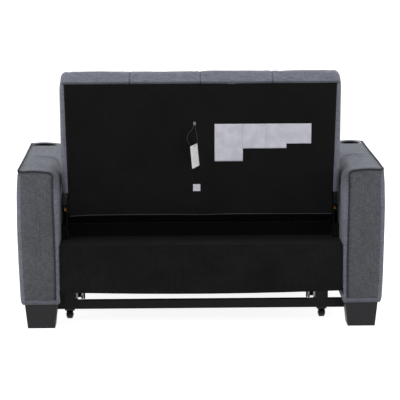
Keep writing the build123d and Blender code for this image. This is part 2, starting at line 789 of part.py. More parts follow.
with BuildPart() as slats:
    first = frame_front + upright
    pitch = (frame_back - frame_front - 2 * upright) / (slat_count + 1)
    for index in range(1, slat_count + 1):
        middle = first + index * pitch
        slab((frame_shift - member_inner, frame_shift + member_inner),
             (middle - slat_width / 2, middle + slat_width / 2),
             (support_top - slat_thickness, support_top))
save(slats, "slats")

# Slides: fixed channels on hangers, and rails on the side members that run in them
for side in ("left", "right"):
    with BuildPart() as slide_channel:
        slab((frame_shift + channel_inner, frame_shift + channel_outer),
             (channel_front, channel_back), (channel_low, channel_high))
        slab((frame_shift + channel_inner + slide_wall, frame_shift + channel_outer + overrun),
             (channel_front - overrun, channel_back + overrun),
             (channel_low + slide_wall, channel_high - slide_wall), mode=Mode.SUBTRACT)
        keep_frame_side(side)
    save(slide_channel, f"slide_channel_{side}")

    rail_z = (channel_low + slide_wall + slide_play, channel_high - slide_wall - slide_play)
    with BuildPart() as slide_rail:
        slab((frame_shift + slide_reach, frame_shift + member_inner),
             (slide_front, cross_rear_y), rail_z)
        slab((frame_shift + slide_reach - overrun, frame_shift + member_inner - slide_wall),
             (slide_front - overrun, cross_rear_y + overrun),
             (rail_z[0] + slide_wall, rail_z[1] - slide_wall), mode=Mode.SUBTRACT)
        keep_frame_side(side)
    save(slide_rail, f"slide_rail_{side}")

with BuildPart() as slide_hangers:
    for place in (hanger_front_y, hanger_back_y):
        span = (place - hanger_width / 2, place + hanger_width / 2)
        for side, shift in ((1, frame_shift), (-1, -frame_shift)):
            web = shift + channel_inner
            slab(sorted((side * (side_inner - hanger_thickness), side * side_inner)), span,
                 (hanger_level, hanger_top))
            slab(sorted((side * (web - hanger_thickness), side * side_inner)), span,
                 (hanger_level, hanger_level + hanger_thickness))
            slab(sorted((side * (web - hanger_thickness), side * web)), span,
                 (channel_low + slide_wall, hanger_level))
save(slide_hangers, "slide_hangers")

# Front panel with its pad and pull strap
panel_top = support_top - seat_gap
panel_back = frame_front - seat_gap
with BuildPart() as front_panel:
    slab((-panel_half + panel_padding, panel_half - panel_padding),
         (frame_front - panel_board, frame_front),
         (panel_low + panel_padding, panel_top - panel_padding))
save(front_panel, "front_panel")

with BuildPart() as front_panel_pad:
    slab((-panel_half, panel_half), (panel_face, panel_back), (panel_low, panel_top))
    face_edges = front_panel_pad.faces().sort_by(Axis.Y)[0].edges()
    fillet(face_edges, radius=panel_round)
    slab((-panel_half + panel_padding - seat_gap, panel_half - panel_padding + seat_gap),
         (frame_front - panel_board - seat_gap, panel_back + overrun),
         (panel_low + panel_padding - seat_gap, panel_top - panel_padding + seat_gap),
         mode=Mode.SUBTRACT)
save(front_panel_pad, "front_panel_pad")

with BuildPart() as pull_strap:
    strap_top = panel_top - panel_round - seat_gap
    slab((-strap_width / 2, strap_width / 2),
         (panel_face - seat_gap - strap_thickness, panel_face - seat_gap),
         (strap_top - strap_length, strap_top))
save(pull_strap, "pull_strap")

# Casters: forks below the cross tubes, axles and wheels
fork_half = wheel_width / 2 + fork_play
caster_places = [(side, end, frame_shift + sign * caster_half, place)
                 for side, sign in (("left", 1), ("right", -1))
                 for end, place in (("front", cross_front_y), ("rear", cross_rear_y))]
with BuildPart() as caster_forks:
    for side, end, place_x, place_y in caster_places:
        slab((place_x - fork_plate / 2, place_x + fork_plate / 2),
             (place_y - fork_depth / 2, place_y + fork_depth / 2),
             (cross_low - fork_plate_thickness, cross_low))
        for sign in (-1, 1):
            slab(sorted((place_x + sign * fork_half, place_x + sign * (fork_half + fork_ear))),
                 (place_y - fork_depth / 2, place_y + fork_depth / 2), (fork_drop, cross_low))
        rod(axle_radius + run_gap, (place_x - fork_plate / 2, place_x + fork_plate / 2), place_y,
            wheel_level, mode=Mode.SUBTRACT)
save(caster_forks, "caster_forks")

with BuildPart() as caster_axles:
    for side, end, place_x, place_y in caster_places:
        reach = fork_half + fork_ear + seat_gap
        rod(axle_radius, (place_x - reach, place_x + reach), place_y, wheel_level)
        for sign in (-1, 1):
            rod(axle_head, (place_x + sign * reach, place_x + sign * (reach + axle_head_height)),
                place_y, wheel_level)
save(caster_axles, "caster_axles")

for side, end, place_x, place_y in caster_places:
    with BuildPart() as wheel:
        rod(wheel_radius, (place_x - wheel_width / 2, place_x + wheel_width / 2), place_y, wheel_level)
        rod(axle_radius + run_gap, (place_x - wheel_width, place_x + wheel_width), place_y,
            wheel_level, mode=Mode.SUBTRACT)
    save(wheel, f"caster_wheel_{end}_{side}")
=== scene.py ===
# %% [markdown]
# # A two-seat sleeper sofa, seen from behind
#
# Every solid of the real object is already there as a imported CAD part. This lesson keeps the hard
# parts, gives them finishes, and builds the soft ones: padded arms, cushions, covers, labels.
# All lengths are in metres. The seat faces -Y, Z is up, and the sitter's left is +X.

from math import cos, pi, radians, sin

import bpy
import numpy as np
from mathutils import Matrix, Vector


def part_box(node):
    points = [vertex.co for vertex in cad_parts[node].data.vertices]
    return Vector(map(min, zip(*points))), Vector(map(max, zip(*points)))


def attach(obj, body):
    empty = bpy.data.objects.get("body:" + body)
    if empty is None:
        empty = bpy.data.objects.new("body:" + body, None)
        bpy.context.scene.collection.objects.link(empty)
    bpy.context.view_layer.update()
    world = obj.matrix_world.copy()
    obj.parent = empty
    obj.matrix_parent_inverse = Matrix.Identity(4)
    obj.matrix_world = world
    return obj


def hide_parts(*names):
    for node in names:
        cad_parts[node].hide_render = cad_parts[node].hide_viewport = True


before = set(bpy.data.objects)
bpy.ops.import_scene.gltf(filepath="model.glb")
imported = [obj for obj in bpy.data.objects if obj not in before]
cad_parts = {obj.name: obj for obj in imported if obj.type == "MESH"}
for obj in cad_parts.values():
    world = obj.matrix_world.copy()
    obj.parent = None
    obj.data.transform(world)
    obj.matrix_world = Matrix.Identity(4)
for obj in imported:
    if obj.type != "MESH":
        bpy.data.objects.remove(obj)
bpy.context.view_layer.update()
for material in list(bpy.data.materials):
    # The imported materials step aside, so that the finishes made below can take their names.
    material.name = "cad_" + material.name

# %% [markdown]
# ## The photographer's place
#
# The photograph looks down on the back of the sofa from nearly eight metres, so a long lens is
# right: it keeps upright edges almost parallel. The place and the three turns were fitted to
# corners that can be found in both the photograph and the model.

# %% Camera
CAMERA_PLACE = Vector((0.1284, 7.8998, 1.5515))
CAMERA_PITCH, CAMERA_YAW, CAMERA_ROLL = radians(8.265), radians(0.953), radians(-0.2865)
LENS_MM, SENSOR_MM = 192.13, 36.0

look = Vector((-sin(CAMERA_YAW) * cos(CAMERA_PITCH), -cos(CAMERA_YAW) * cos(CAMERA_PITCH),
               -sin(CAMERA_PITCH)))
camera = bpy.data.objects.new("camera", bpy.data.cameras.new("camera"))
camera.data.lens = LENS_MM
camera.data.sensor_width = SENSOR_MM
camera.data.clip_end = 100.0
camera.rotation_mode = "QUATERNION"
camera.location = CAMERA_PLACE
camera.rotation_quaternion = (look.to_track_quat("-Z", "Y").to_matrix()
                              @ Matrix.Rotation(CAMERA_ROLL, 3, "Z")).to_quaternion()
bpy.context.scene.collection.objects.link(camera)
bpy.context.scene.camera = camera
bpy.context.scene.view_settings.view_transform = "Standard"
print("camera", round(CAMERA_PLACE.length, 2), "m away, lens", LENS_MM, "mm")

# %% [markdown]
# ## Writing shader maths as Python
#
# A material is a graph of nodes. `Shade` wraps one output of the graph and overloads the
# arithmetic signs, so that `1 - mask * 0.5` adds the Math nodes by itself. `Finish` is one
# material: a Principled shader whose sockets take numbers, colours or a `Shade`.

# %% Shader helpers
def linear(red, green, blue):
    """A colour as seen on a screen, from 0 to 255 a channel, as the linear light the nodes use."""
    seen = np.array([red, green, blue]) / 255.0
    light = np.where(seen <= 0.04045, seen / 12.92, ((seen + 0.055) / 1.055) ** 2.4)
    return (*light.tolist(), 1.0)


class Shade:
    """One value on its way through a material's nodes."""

    def __init__(self, finish, socket):
        self.finish, self.socket = finish, socket

    def math(self, operation, *others):
        values = dict(enumerate((self, *others)))
        return self.finish.node("ShaderNodeMath", {"operation": operation}, values)

    def __add__(self, other): return self.math("ADD", other)
    def __sub__(self, other): return self.math("SUBTRACT", other)
    def __mul__(self, other): return self.math("MULTIPLY", other)
    def __radd__(self, other): return self + other
    def __rmul__(self, other): return self * other
    def __rsub__(self, other): return (self * -1.0) + other
    def sine(self): return self.math("SINE")
    def size(self): return self.math("ABSOLUTE")
    def exp(self): return self.math("EXPONENT")
    def at_least(self, floor): return self.math("MAXIMUM", floor)
    def above(self, edge): return self.math("GREATER_THAN", edge)

    def ramp(self, low, high):
        """0 below low, 1 above high, smooth between them."""
        return self.finish.node("ShaderNodeMapRange", {"interpolation_type": "SMOOTHSTEP"},
                                {0: self, 1: low, 2: high})


print("mid grey, 128 of 255, is", round(linear(128, 128, 128)[0], 3), "in linear light")

# %% One material
class Finish:
    """A material around one Principled shader."""

    def __init__(self, name, **sockets):
        self.material = bpy.data.materials.new(name)
        self.material.use_nodes = True
        self.tree = self.material.node_tree
        self.shader = self.tree.nodes["Principled BSDF"]
        self.set(**sockets)

    def put(self, socket, value):
        """Link a Shade to a socket, or write a plain value into it."""
        if isinstance(value, Shade):
            self.tree.links.new(value.socket, socket)
        else:
            socket.default_value = value

    def set(self, **sockets):
        """Fill sockets of the Principled shader, named with _ for each space."""
        inputs = {socket.name.casefold(): socket for socket in self.shader.inputs}
        for name, value in sockets.items():
            self.put(inputs[name.replace("_", " ").casefold()], value)

    def node(self, kind, settings=None, values=None, output=0):
        """Add any node: its settings first, then the values or links of its sockets."""
        made = self.tree.nodes.new(kind)
        for name, value in (settings or {}).items():
            setattr(made, name, value)
        for socket, value in (values or {}).items():
            self.put(made.inputs[socket], value)
        return Shade(self, made.outputs[output])

    def place(self):
        """The point being shaded, in metres in the object's own frame, and its three parts."""
        point = self.node("ShaderNodeTexCoord", output="Object")
        split = self.node("ShaderNodeSeparateXYZ", values={0: point}).socket.node
        return point, [Shade(self, out) for out in split.outputs]

    def noise(self, point, scale, detail=2.0, roughness=0.5):
        """Clouds from 0 to 1, about scale of them to a metre."""
        return self.node("ShaderNodeTexNoise", values={"Vector": point, "Scale": scale,
                                                       "Detail": detail, "Roughness": roughness})

    def stretch(self, point, scale):
        """The point multiplied by scale along each axis."""
        return self.node("ShaderNodeMapping", values={"Vector": point, "Scale": scale})

    def mix(self, factor, first, second):
        """first where factor is 0 and second where it is 1."""
        return self.node("ShaderNodeMix", {"data_type": "RGBA"}, {0: factor, 6: first, 7: second},
                         output=2)

    def bump(self, height, depth, strength):
        """Tilt the surface as if it rose by height times depth metres."""
        return self.node("ShaderNodeBump", values={"Height": height, "Distance": depth,
                                                   "Strength": strength})


print("packed materials", len(bpy.data.materials))

# %% [markdown]
# ## Finishes
#
# The grey fabric is a chunky plain weave of two yarns, light and dark, that reads as heather from
# a distance. Products of sines draw threads on every face of the arm at once, whichever way the
# face points, and a coarse noise lets some threads swell, as slubs do in real linen-look cloth.

# %% Woven cloth
THREAD_PITCH = 0.0044
THREAD = 2 * pi / THREAD_PITCH
SLUB_FINE, SLUB_LONG = 420, 60
GREY_YARNS = linear(84, 86, 95), linear(132, 135, 147)


def woven(name, dark, light, sheen=0.25, shade=None):
    """Heather cloth. The colour goes from dark to light with two stretched noises, the slubs, and
    two round ones. The bump adds products of sines, the threads. shade takes x, y and z and gives
    the places, from 0 to 1, where a seam or a fold keeps the light out."""
    cloth = Finish(name, Roughness=0.92, Sheen_Weight=sheen, Sheen_Roughness=0.4)
    point, (x, y, z) = cloth.place()
    sx, sy, sz = [(part * THREAD).sine() for part in (x, y, z)]
    threads = sx * sy + sy * sz + sz * sx
    across = cloth.noise(cloth.stretch(point, (SLUB_LONG, SLUB_LONG, SLUB_FINE)), 1.0, 3)
    along = cloth.noise(cloth.stretch(point, (SLUB_FINE, SLUB_FINE, SLUB_LONG)), 1.0, 3)
    patches = cloth.noise(point, 26.0, 3, 0.6)
    clouds = cloth.noise(point, 5.0, 2)
    tone = (across + along) * 0.80 + patches * 0.16 + clouds * 0.16 - 0.46
    colour = cloth.mix(tone.ramp(0.10, 0.90), dark, light)
    if shade:
        shadow = tuple(0.30 * part for part in dark[:3]) + (1.0,)
        colour = cloth.mix(shade(x, y, z), colour, shadow)
    cloth.set(Base_Color=colour)
    relief = threads * 0.28 + across * 0.9 + along * 0.9
    cloth.set(Normal=cloth.bump(relief, 0.0009, 0.55))
    return cloth


grey_fabric = woven("grey_fabric", *GREY_YARNS)
# Painted shade: the end panels are the same cloth as the rest of the arm, made darker.
panel_shaded_fabric = woven("grey_fabric_panel", linear(66, 67, 71), linear(106, 107, 113), sheen=0.1)
# Painted shade: the piping is the same cloth, darkened to stand for the shade in its groove.
piping_shaded_fabric = woven("grey_fabric_piping", linear(27, 28, 32), linear(56, 58, 64), sheen=0.05)
print("threads", THREAD_PITCH * 1000, "mm apart")

# %% [markdown]
# The black covers are a felt of fine fibres, pressed together in a pattern of small dots. A
# product of two slanting sines makes the dots, and a fine stretched noise makes the fibres. They
# send back almost no light, so the sheen and the gloss are kept very low.

# %% Non-woven cloth
DOT_PITCH = 0.0032


def nonwoven(name, dark, light, roughness):
    """Black dust-cover cloth: fibres and clouds mix the colour, fibres and dots make the bump."""
    cloth = Finish(name, Roughness=roughness, Specular_IOR_Level=0.16, Sheen_Weight=0.02,
                   Sheen_Roughness=0.5)
    point, (x, y, z) = cloth.place()
    pitch = 2 * pi / DOT_PITCH
    dots = ((x + z) * pitch).sine() * ((x - z + y) * pitch).sine()
    fibres = cloth.noise(cloth.stretch(point, (160, 160, 90)), 1.0, 4, 0.65)
    clouds = cloth.noise(point, 9.0, 3)
    tone = fibres * 0.6 + clouds * 0.5 + dots * 0.06
    cloth.set(Base_Color=cloth.mix(tone.ramp(0.35, 0.85), dark, light))
    cloth.set(Normal=cloth.bump(fibres + dots * 0.35, 0.0006, 0.45))
    return cloth


black_nonwoven = nonwoven("black_nonwoven", linear(5, 5, 5), linear(18, 18, 19), 0.9)
print("cloths", [m.name for m in bpy.data.materials])

# %% [markdown]
# The hard parts: powder-coated and oxidised steel, zinc plate with its pale streaks, yellow brass,
# satin black paint on the legs, moulded plastic, raw plywood where a board shows from below.

# %% Paint and plastic
def coated(name, dark, light, roughness, grain, depth=0.0001, metallic=0.0, gloss=0.3):
    """Paint, powder coat or moulded plastic. A coarse noise, the wear, moves the colour from dark
    to light and the roughness up; a fine one, grain cells to a metre, lifts the bump by depth."""
    paint = Finish(name, Metallic=metallic, Specular_IOR_Level=gloss)
    point, _ = paint.place()
    speck = paint.noise(point, grain, 2)
    wear = paint.noise(point, 14.0, 4, 0.7)
    paint.set(Base_Color=paint.mix(wear.ramp(0.4, 0.75), dark, light))
    paint.set(Roughness=(wear * 0.25) + (roughness - 0.12))
    paint.set(Normal=paint.bump(speck, depth, 0.5))
    return paint


leg_black = coated("leg_black", linear(24, 23, 26), linear(33, 32, 36), 0.5, 60.0, depth=0.0002)
cup_plastic = coated("cup_plastic", linear(15, 15, 16), linear(24, 24, 25), 0.38, 900.0)
black_steel = coated("black_steel", linear(7, 7, 8), linear(14, 14, 15), 0.45, 700.0, gloss=0.2)
hinge_steel = coated("hinge_steel", linear(20, 20, 22), linear(44, 43, 44), 0.45, 500.0,
                     metallic=0.7)
caster_plastic = coated("caster_plastic", linear(14, 14, 15), linear(22, 22, 23), 0.35, 800.0)
wheel_black = coated("wheel_black", linear(16, 16, 17), linear(30, 30, 31), 0.5, 500.0)
seal_grey = coated("seal_grey", linear(120, 121, 124), linear(150, 151, 154), 0.4, 400.0)
print("materials so far", len(bpy.data.materials))


# %% Bare metal
def brushed(name, dark, light, roughness, run):
    """Bare or plated metal. run stretches the scratches' noise: the axis with the small number is
    the one that they follow. A round noise clouds the plate."""
    metal = Finish(name, Metallic=1.0)
    point, _ = metal.place()
    lines = metal.noise(metal.stretch(point, run), 1.0, 3)
    clouds = metal.noise(point, 45.0, 3, 0.6)
    metal.set(Base_Color=metal.mix((lines * 0.5 + clouds * 0.6).ramp(0.3, 0.8), dark, light))
    metal.set(Roughness=lines * 0.22 + roughness)
    metal.set(Normal=metal.bump(lines, 0.0001, 0.4))
    return metal


zinc_steel = brushed("zinc_steel", linear(104, 106, 109), linear(158, 160, 163), 0.34,
                     (900, 40, 900))
brass = brushed("brass", linear(122, 74, 34), linear(178, 118, 58), 0.25, (600, 600, 80))
print("metals", zinc_steel.material.name, brass.material.name)

# %% [markdown]
# The boards are raw plywood. The few edges that could be seen from outside are turned black here,
# wherever simple tests on the point's place say that an edge may show.

# %% Wood
BLACK_BEHIND, BLACK_LOW, BLACK_HIGH = 0.165, 0.284, 0.420
BLACK_UNDER, BLACK_END = 0.110, 0.375


def timber(name):
    """Sawn plywood with banded grain, turned black where an edge could show from outside: in the
    gap behind the seat, on the underside and at both ends of the base."""
    wood = Finish(name, Roughness=0.75, Specular_IOR_Level=0.2)
    point, (x, y, z) = wood.place()
    grain = wood.noise(wood.stretch(point, (14, 3, 60)), 1.0, 5, 0.6)
    raw = wood.mix(grain.ramp(0.3, 0.7), linear(168, 132, 88), linear(212, 182, 136))
    behind_seat = y.above(BLACK_BEHIND) * z.above(BLACK_LOW) * (1 - z.above(BLACK_HIGH))
    underside = 1 - z.above(BLACK_UNDER)
    end_board = y.size().above(BLACK_END)
    blackened = 1 - (1 - behind_seat) * (1 - underside) * (1 - end_board)
    wood.set(Base_Color=wood.mix(blackened, raw, linear(4, 4, 4)))
    wood.set(Normal=wood.bump(grain, 0.0006, 0.5))
    return wood


frame_wood = timber("frame_wood")
print("turned black below", BLACK_UNDER, "m and past", BLACK_END, "m from the middle")

# %% [markdown]
# The labels are white satin tape and the tag is coated card. Both are blank, nearly white, with a
# rib so fine that it only softens the light. The strap is ribbed tape, so its bump is deeper.

# %% Tape, card and string
RIB_ACROSS, RIB_ALONG = 0.0024, 0.0016


def paper(name, dark, light, roughness, threads, depth):
    """Satin tape or card: clouds between two near whites, and a bump of two sines, one up the sheet
    and one across it with 0.7 as many threads."""
    sheet = Finish(name, Roughness=roughness)
    point, (x, y, z) = sheet.place()
    rib = (z * threads).sine() * 0.5 + (x * threads * 0.7).sine() * 0.5
    clouds = sheet.noise(point, 30.0, 3)
    sheet.set(Base_Color=sheet.mix(clouds.ramp(0.3, 0.75), dark, light))
    sheet.set(Normal=sheet.bump(rib, depth, 0.4))
    return sheet


label_white = paper("label_white", linear(206, 206, 216), linear(224, 224, 234), 0.7, 5200.0,
                    0.0002)
tag_card = paper("tag_card", linear(238, 238, 234), linear(248, 248, 244), 0.5, 2600.0, 0.0001)
string_grey = woven("string_grey", linear(58, 58, 60), linear(96, 96, 99), sheen=0.0)


def webbing(name):
    """Ribbed polypropylene tape: raised ribs along its length, darker between them."""
    tape = Finish(name, Roughness=0.6, Sheen_Weight=0.2)
    point, (x, y, z) = tape.place()
    rib = (x * (2 * pi / RIB_ACROSS)).sine() * 0.7 + (z * (2 * pi / RIB_ALONG)).sine() * 0.3
    tape.set(Base_Color=tape.mix(rib.ramp(-0.8, 0.8), linear(24, 24, 27), linear(46, 46, 50)))
    tape.set(Normal=tape.bump(rib, 0.0006, 0.8))
    return tape


strap_webbing = webbing("strap_webbing")
print("ribs of the strap", RIB_ACROSS * 1000, "mm apart")

# %% [markdown]
# Each CAD node carries the name of its slot. The finish of the same name takes that slot over, so a
# hard part needs no new mesh at all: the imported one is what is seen.

# %% Finishes on the CAD nodes
FINISHES = {finish.material.name: finish.material for finish in (
    grey_fabric, black_nonwoven, leg_black, cup_plastic, black_steel, hinge_steel, caster_plastic,
    wheel_black, seal_grey, zinc_steel, brass, frame_wood, label_white, tag_card, string_grey,
    strap_webbing)}
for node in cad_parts.values():
    for holder in node.material_slots:
        holder.material = FINISHES[holder.material.name.removeprefix("cad_")]
print("finishes", len(FINISHES))

# %% [markdown]
# ## Surfaces from numpy
#
# A soft piece starts as a grid: one parameter runs round an outline, the other along the piece
# and then inwards over each end, so a block closes itself without a separate lid. The whole grid
# is worked out as arrays, displaced by smooth noise, and handed to Blender in one go.

# %% Pieces and grids
def add_piece(name, points, faces, body, finish):
    """Make a mesh object from points and quads, with one finish, riding on a CAD body."""
    mesh = bpy.data.meshes.new(name)
    mesh.from_pydata(np.asarray(points).reshape(-1, 3).tolist(), [], [list(face) for face in faces])
    mesh.materials.append(finish.material)
    mesh.polygons.foreach_set("use_smooth", np.ones(len(mesh.polygons), bool))
    mesh.update()
    piece = bpy.data.objects.new(name, mesh)
    bpy.context.scene.collection.objects.link(piece)
    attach(piece, body)
    return piece


def grid_quads(rows, columns, wrap_columns=False):
    """Quads between the neighbours of a grid stored row by row: point (i, j) is number i * columns
    + j. With wrap_columns the last column is joined to the first."""
    i, j = np.meshgrid(np.arange(rows - 1), np.arange(columns if wrap_columns else columns - 1),
                       indexing="ij")
    right = (j + 1) % columns
    quads = np.stack([i * columns + j, i * columns + right, (i + 1) * columns + right,
                      (i + 1) * columns + j], -1)
    return quads.reshape(-1, 4)


def closed_faces(rings, columns):
    """Quads round a stack of rings, and one flat face over its first and over its last ring."""
    faces = grid_quads(rings, columns, wrap_columns=True).tolist()
    faces.append(list(range(columns))[::-1])
    faces.append([(rings - 1) * columns + k for k in range(columns)])
    return faces


def read_vectors(rows, attribute):
    """An attribute of a mesh's points or faces with three numbers to a row, as one array."""
    values = np.empty(len(rows) * 3)
    rows.foreach_get(attribute, values)
    return values.reshape(-1, 3)


def swell(piece, height):
    """Move every point along its own normal by height(points, normals), in metres."""
    mesh = piece.data
    points, normals = read_vectors(mesh.vertices, "co"), read_vectors(mesh.vertex_normals, "vector")
    points = points + normals * height(points, normals)[:, None]
    mesh.vertices.foreach_set("co", points.ravel())
    mesh.update()


print("a closed grid of 3 rings with 8 points has", len(grid_quads(3, 8, True)), "quads")

# %% [markdown]
# Cloth is never quite even. A lattice of random numbers, blended between its points, gives slow
# hollows with a large size and creases with a small one. The seed is fixed, so that each run makes
# the same sofa.

# %% Noise and steps
def smooth_noise(points, size, seed):
    """Noise from -1 to 1: random numbers on a cubic lattice, blended by smoothstep between them."""
    table = np.random.default_rng(seed).uniform(-1, 1, 4096)
    cell = np.asarray(points) / size
    low = np.floor(cell).astype(np.int64)
    part = cell - low
    part = part * part * (3 - 2 * part)
    total = 0.0
    for corner in np.ndindex(2, 2, 2):
        key = (low + corner) * np.array([73856093, 19349663, 83492791])
        share = np.where(np.array(corner) == 1, part, 1 - part).prod(-1)
        total = total + share * table[(key[..., 0] ^ key[..., 1] ^ key[..., 2]) & 4095]
    return total


def smoothstep(value, low, high):
    """0 below low, 1 above high, an S-curve between."""
    part = np.clip((value - low) / (high - low), 0, 1)
    return part * part * (3 - 2 * part)


def ridge(distance, width):
    """A soft bump across a line: 1 on the line, falling like a bell over width."""
    return np.exp(-(distance / width) ** 2)


def from_line(points, start, end):
    """Distance of each point from the stretch between start and end, and how far along it is."""
    start, end = np.array(start), np.array(end)
    run = end - start
    share = np.clip(((points - start) @ run) / (run @ run), 0, 1)
    return np.linalg.norm(points - start - share[..., None] * run, axis=-1), share


def flat_noise(across, along, size, seed):
    """Noise over a flat sheet, from its two measures in metres."""
    return smooth_noise(np.stack(np.broadcast_arrays(across, 0.0, along), -1), size, seed)


print("noise at three points", np.round(flat_noise(np.arange(3.0), 0.5, 1.0, 1), 2))

# %% [markdown]
# Outlines are drawn with straight runs and arcs. Piping is a cord in a folded strip of cloth, so it
# is a small ring of points carried along the seam.

# %% Outlines and piping
def even_points(corners, step):
    """Points about a step apart along a polyline, with its corners kept."""
    corners = np.array(corners, float)
    out = [corners[:1]]
    for a, b in zip(corners, corners[1:]):
        count = max(1, int(round(np.linalg.norm(b - a) / step)))
        out.append(a + (b - a) * np.arange(1, count + 1)[:, None] / count)
    return np.concatenate(out)


def arc_points(centre, radius, start, end, count):
    """Points on an arc of a circle, from one angle to the other, in degrees."""
    turn = np.radians(np.linspace(start, end, count))
    return np.stack([centre[0] + radius * np.cos(turn), centre[1] + radius * np.sin(turn)], -1)


def unit(rows):
    """Each row divided by its own length."""
    return rows / np.linalg.norm(rows, axis=-1, keepdims=True)


WELT_SIDES, ASKEW = 8, (0.31, 0.52, 0.79)


def welt(name, path, radius, body, finish):
    """Piping or wire: a ring carried along a path, square to its slope at every point. Each ring
    starts where the last one did, less the part along the new slope, so the tube doesn't twist.
    ASKEW is any direction that no path follows."""
    tangent = unit(np.gradient(path, axis=0))
    normals = [unit(np.cross(tangent[0], ASKEW))]
    for t in tangent[1:]:
        normals.append(unit(normals[-1] - t * (normals[-1] @ t)))
    normals = np.array(normals)
    binormals = np.cross(tangent, normals)
    turn = 2 * pi * np.arange(WELT_SIDES) / WELT_SIDES
    rings = (path[:, None] + radius * np.cos(turn)[:, None] * normals[:, None]
             + radius * np.sin(turn)[:, None] * binormals[:, None])
    return add_piece(name, rings, closed_faces(len(path), WELT_SIDES), body, finish)


print("a quarter of a circle in 3 points", np.round(arc_points((0, 0), 1, 0, 90, 3), 2).tolist())

# %% [markdown]
# ## Arms
#
# The arm is a wooden box under foam and cloth. A long boxing strip runs up its inner side and over
# its top, a front panel and a rear panel close its ends, and self-covered piping marks the seams.
# The outline in X and Z is carried along Y; near each end it draws in by a rounding that differs
# round the outline, because the boxing strip swells past its seam while the outer side just folds.

# %% The arm's cross-section
ARM_END = 0.410
ARM_INNER, ARM_OUTER, ARM_TOP, ARM_BOTTOM = 0.504, 0.650, 0.572, 0.087
ARM_STEP = 0.0095
SHOULDER = 0.044
CROWN_RISE, SIDE_BULGE, FOOT_TUCK = 0.0035, 0.0100, 0.005


def arm_outline(step):
    """The arm's cross-section in X and Z, from the inner bottom corner up, over and down: a
    straight inner side, a quarter circle, a top that rises as half a sine, an outer side that
    swells most below its top and tucks under in a quarter ellipse, and a flat bottom."""
    inner = even_points([(ARM_INNER + 0.003, ARM_BOTTOM + 0.004), (ARM_INNER + 0.0005,
                         ARM_BOTTOM + 0.012), (ARM_INNER, ARM_TOP - SHOULDER)], step)
    shoulder = arc_points((ARM_INNER + SHOULDER, ARM_TOP - SHOULDER), SHOULDER, 180, 90, 12)
    top = even_points([(ARM_INNER + SHOULDER, ARM_TOP), (ARM_OUTER - 0.0045, ARM_TOP)], step)
    top[:, 1] += CROWN_RISE * np.sin(pi * np.linspace(0, 1, len(top)))
    level = np.linspace(ARM_TOP - 0.004, ARM_BOTTOM + 0.006, 40)
    share = (ARM_TOP - level) / (ARM_TOP - ARM_BOTTOM)
    bulge = SIDE_BULGE * np.sin(pi * share ** 0.62) ** 0.7 - 0.0042 - 0.0020 * share
    under = ((share - 0.955) / 0.045).clip(0, 1)
    foot = FOOT_TUCK * (1 - np.sqrt(1 - under ** 2))
    outer = np.stack([ARM_OUTER + bulge - foot, level], -1)
    bottom = even_points([(ARM_OUTER - 0.015, ARM_BOTTOM), (ARM_INNER + 0.009, ARM_BOTTOM)], step)
    return np.concatenate([inner[:-1], shoulder, top[1:], outer, bottom])


def arm_rounding(outline):
    """How far from the end each outline point starts to round, in metres: tight along the top, wide
    down the inner side, where it grows with the height, and in between down the outer side."""
    x, z = outline[:, 0], outline[:, 1]
    top = smoothstep(z, ARM_TOP - 0.034, ARM_TOP - 0.0005)
    outer = smoothstep(x, ARM_OUTER - 0.03, ARM_OUTER - 0.004)
    inner_side = (0.0165 + 0.0060 * smoothstep(z, 0.20, 0.53)) * (1 - top) + 0.0065 * top
    outer_side = 0.016 * (1 - top) + 0.0045 * top
    return inner_side * (1 - outer) + outer_side * outer


arm_section = arm_outline(ARM_STEP)
arm_round = arm_rounding(arm_section)
print("arm outline", len(arm_section), "points, rounding", np.round(1000 * np.array(
    [arm_round.min(), arm_round.max()]), 1), "mm")

# %% [markdown]
# Every padded piece here is a block: a stack of rings with an end at each side. An end is closed by
# smaller and smaller rings, drawn in towards a line in its middle and pushed outwards a little, as
# the foam pushes a sewn panel.

# %% Blocks with domed ends
CAP_SHARES = np.array([0.03, 0.08, 0.16, 0.28, 0.42, 0.58, 0.74, 0.9])
CAP_RISES = 0.0042 * np.array([0.12, 0.45, 0.75, 0.92, 1.0, 1.0, 1.0, 1.0]) - 0.0008


def outward(points, faces):
    """The faces, turned round if they point in: a closed mesh's signed volume must be above 0."""
    volume = sum(points[f[0]] @ np.cross(points[f[k]], points[f[k + 1]])
                 for f in faces for k in range(1, len(f) - 1))
    return faces if volume > 0 else [list(f)[::-1] for f in faces]


def capped_block(rims, middles, axis, rise=1.0):
    """Close a stack of rings, rows x columns x 3, into a solid. Past both ends the last ring is
    drawn in towards that end's middle line by CAP_SHARES, and pushed out along the axis by
    CAP_RISES."""
    rows, away = list(rims), np.eye(3)[axis]
    for end, push in ((0, -away), (-1, away)):
        rings = [rims[end] + (middles[end] - rims[end]) * share + push * (lift * rise)
                 for share, lift in zip(CAP_SHARES, CAP_RISES)]
        rows = rings[::-1] + rows if end == 0 else rows + rings
    stack = np.array(rows)
    points = stack.reshape(-1, 3)
    return points, outward(points, closed_faces(*stack.shape[:2]))


def inward(outline):
    """The unit direction square to a closed outline in the plane, pointing into it."""
    ahead = unit(np.roll(outline, -1, 0) - outline)
    behind = unit(outline - np.roll(outline, 1, 0))
    tangent = unit(ahead + behind)
    normal = np.stack([tangent[:, 1], -tangent[:, 0]], -1)
    inside = ((outline.mean(0) - outline) * normal).sum(-1).sum()
    return normal if inside > 0 else -normal


print("an end panel stands", round(1000 * float(CAP_RISES.max()), 1), "mm proud in its middle")

# %% Rings of the arm
BODY_END, SEAM_PINCH = ARM_END - 0.028, 0.0012
arm_inset = inward(arm_section)
seamed = smoothstep(arm_section[:, 1], ARM_BOTTOM + 0.001, ARM_BOTTOM + 0.012) * (
    1 - smoothstep(arm_section[:, 0], ARM_OUTER - 0.0085, ARM_OUTER - 0.0055))


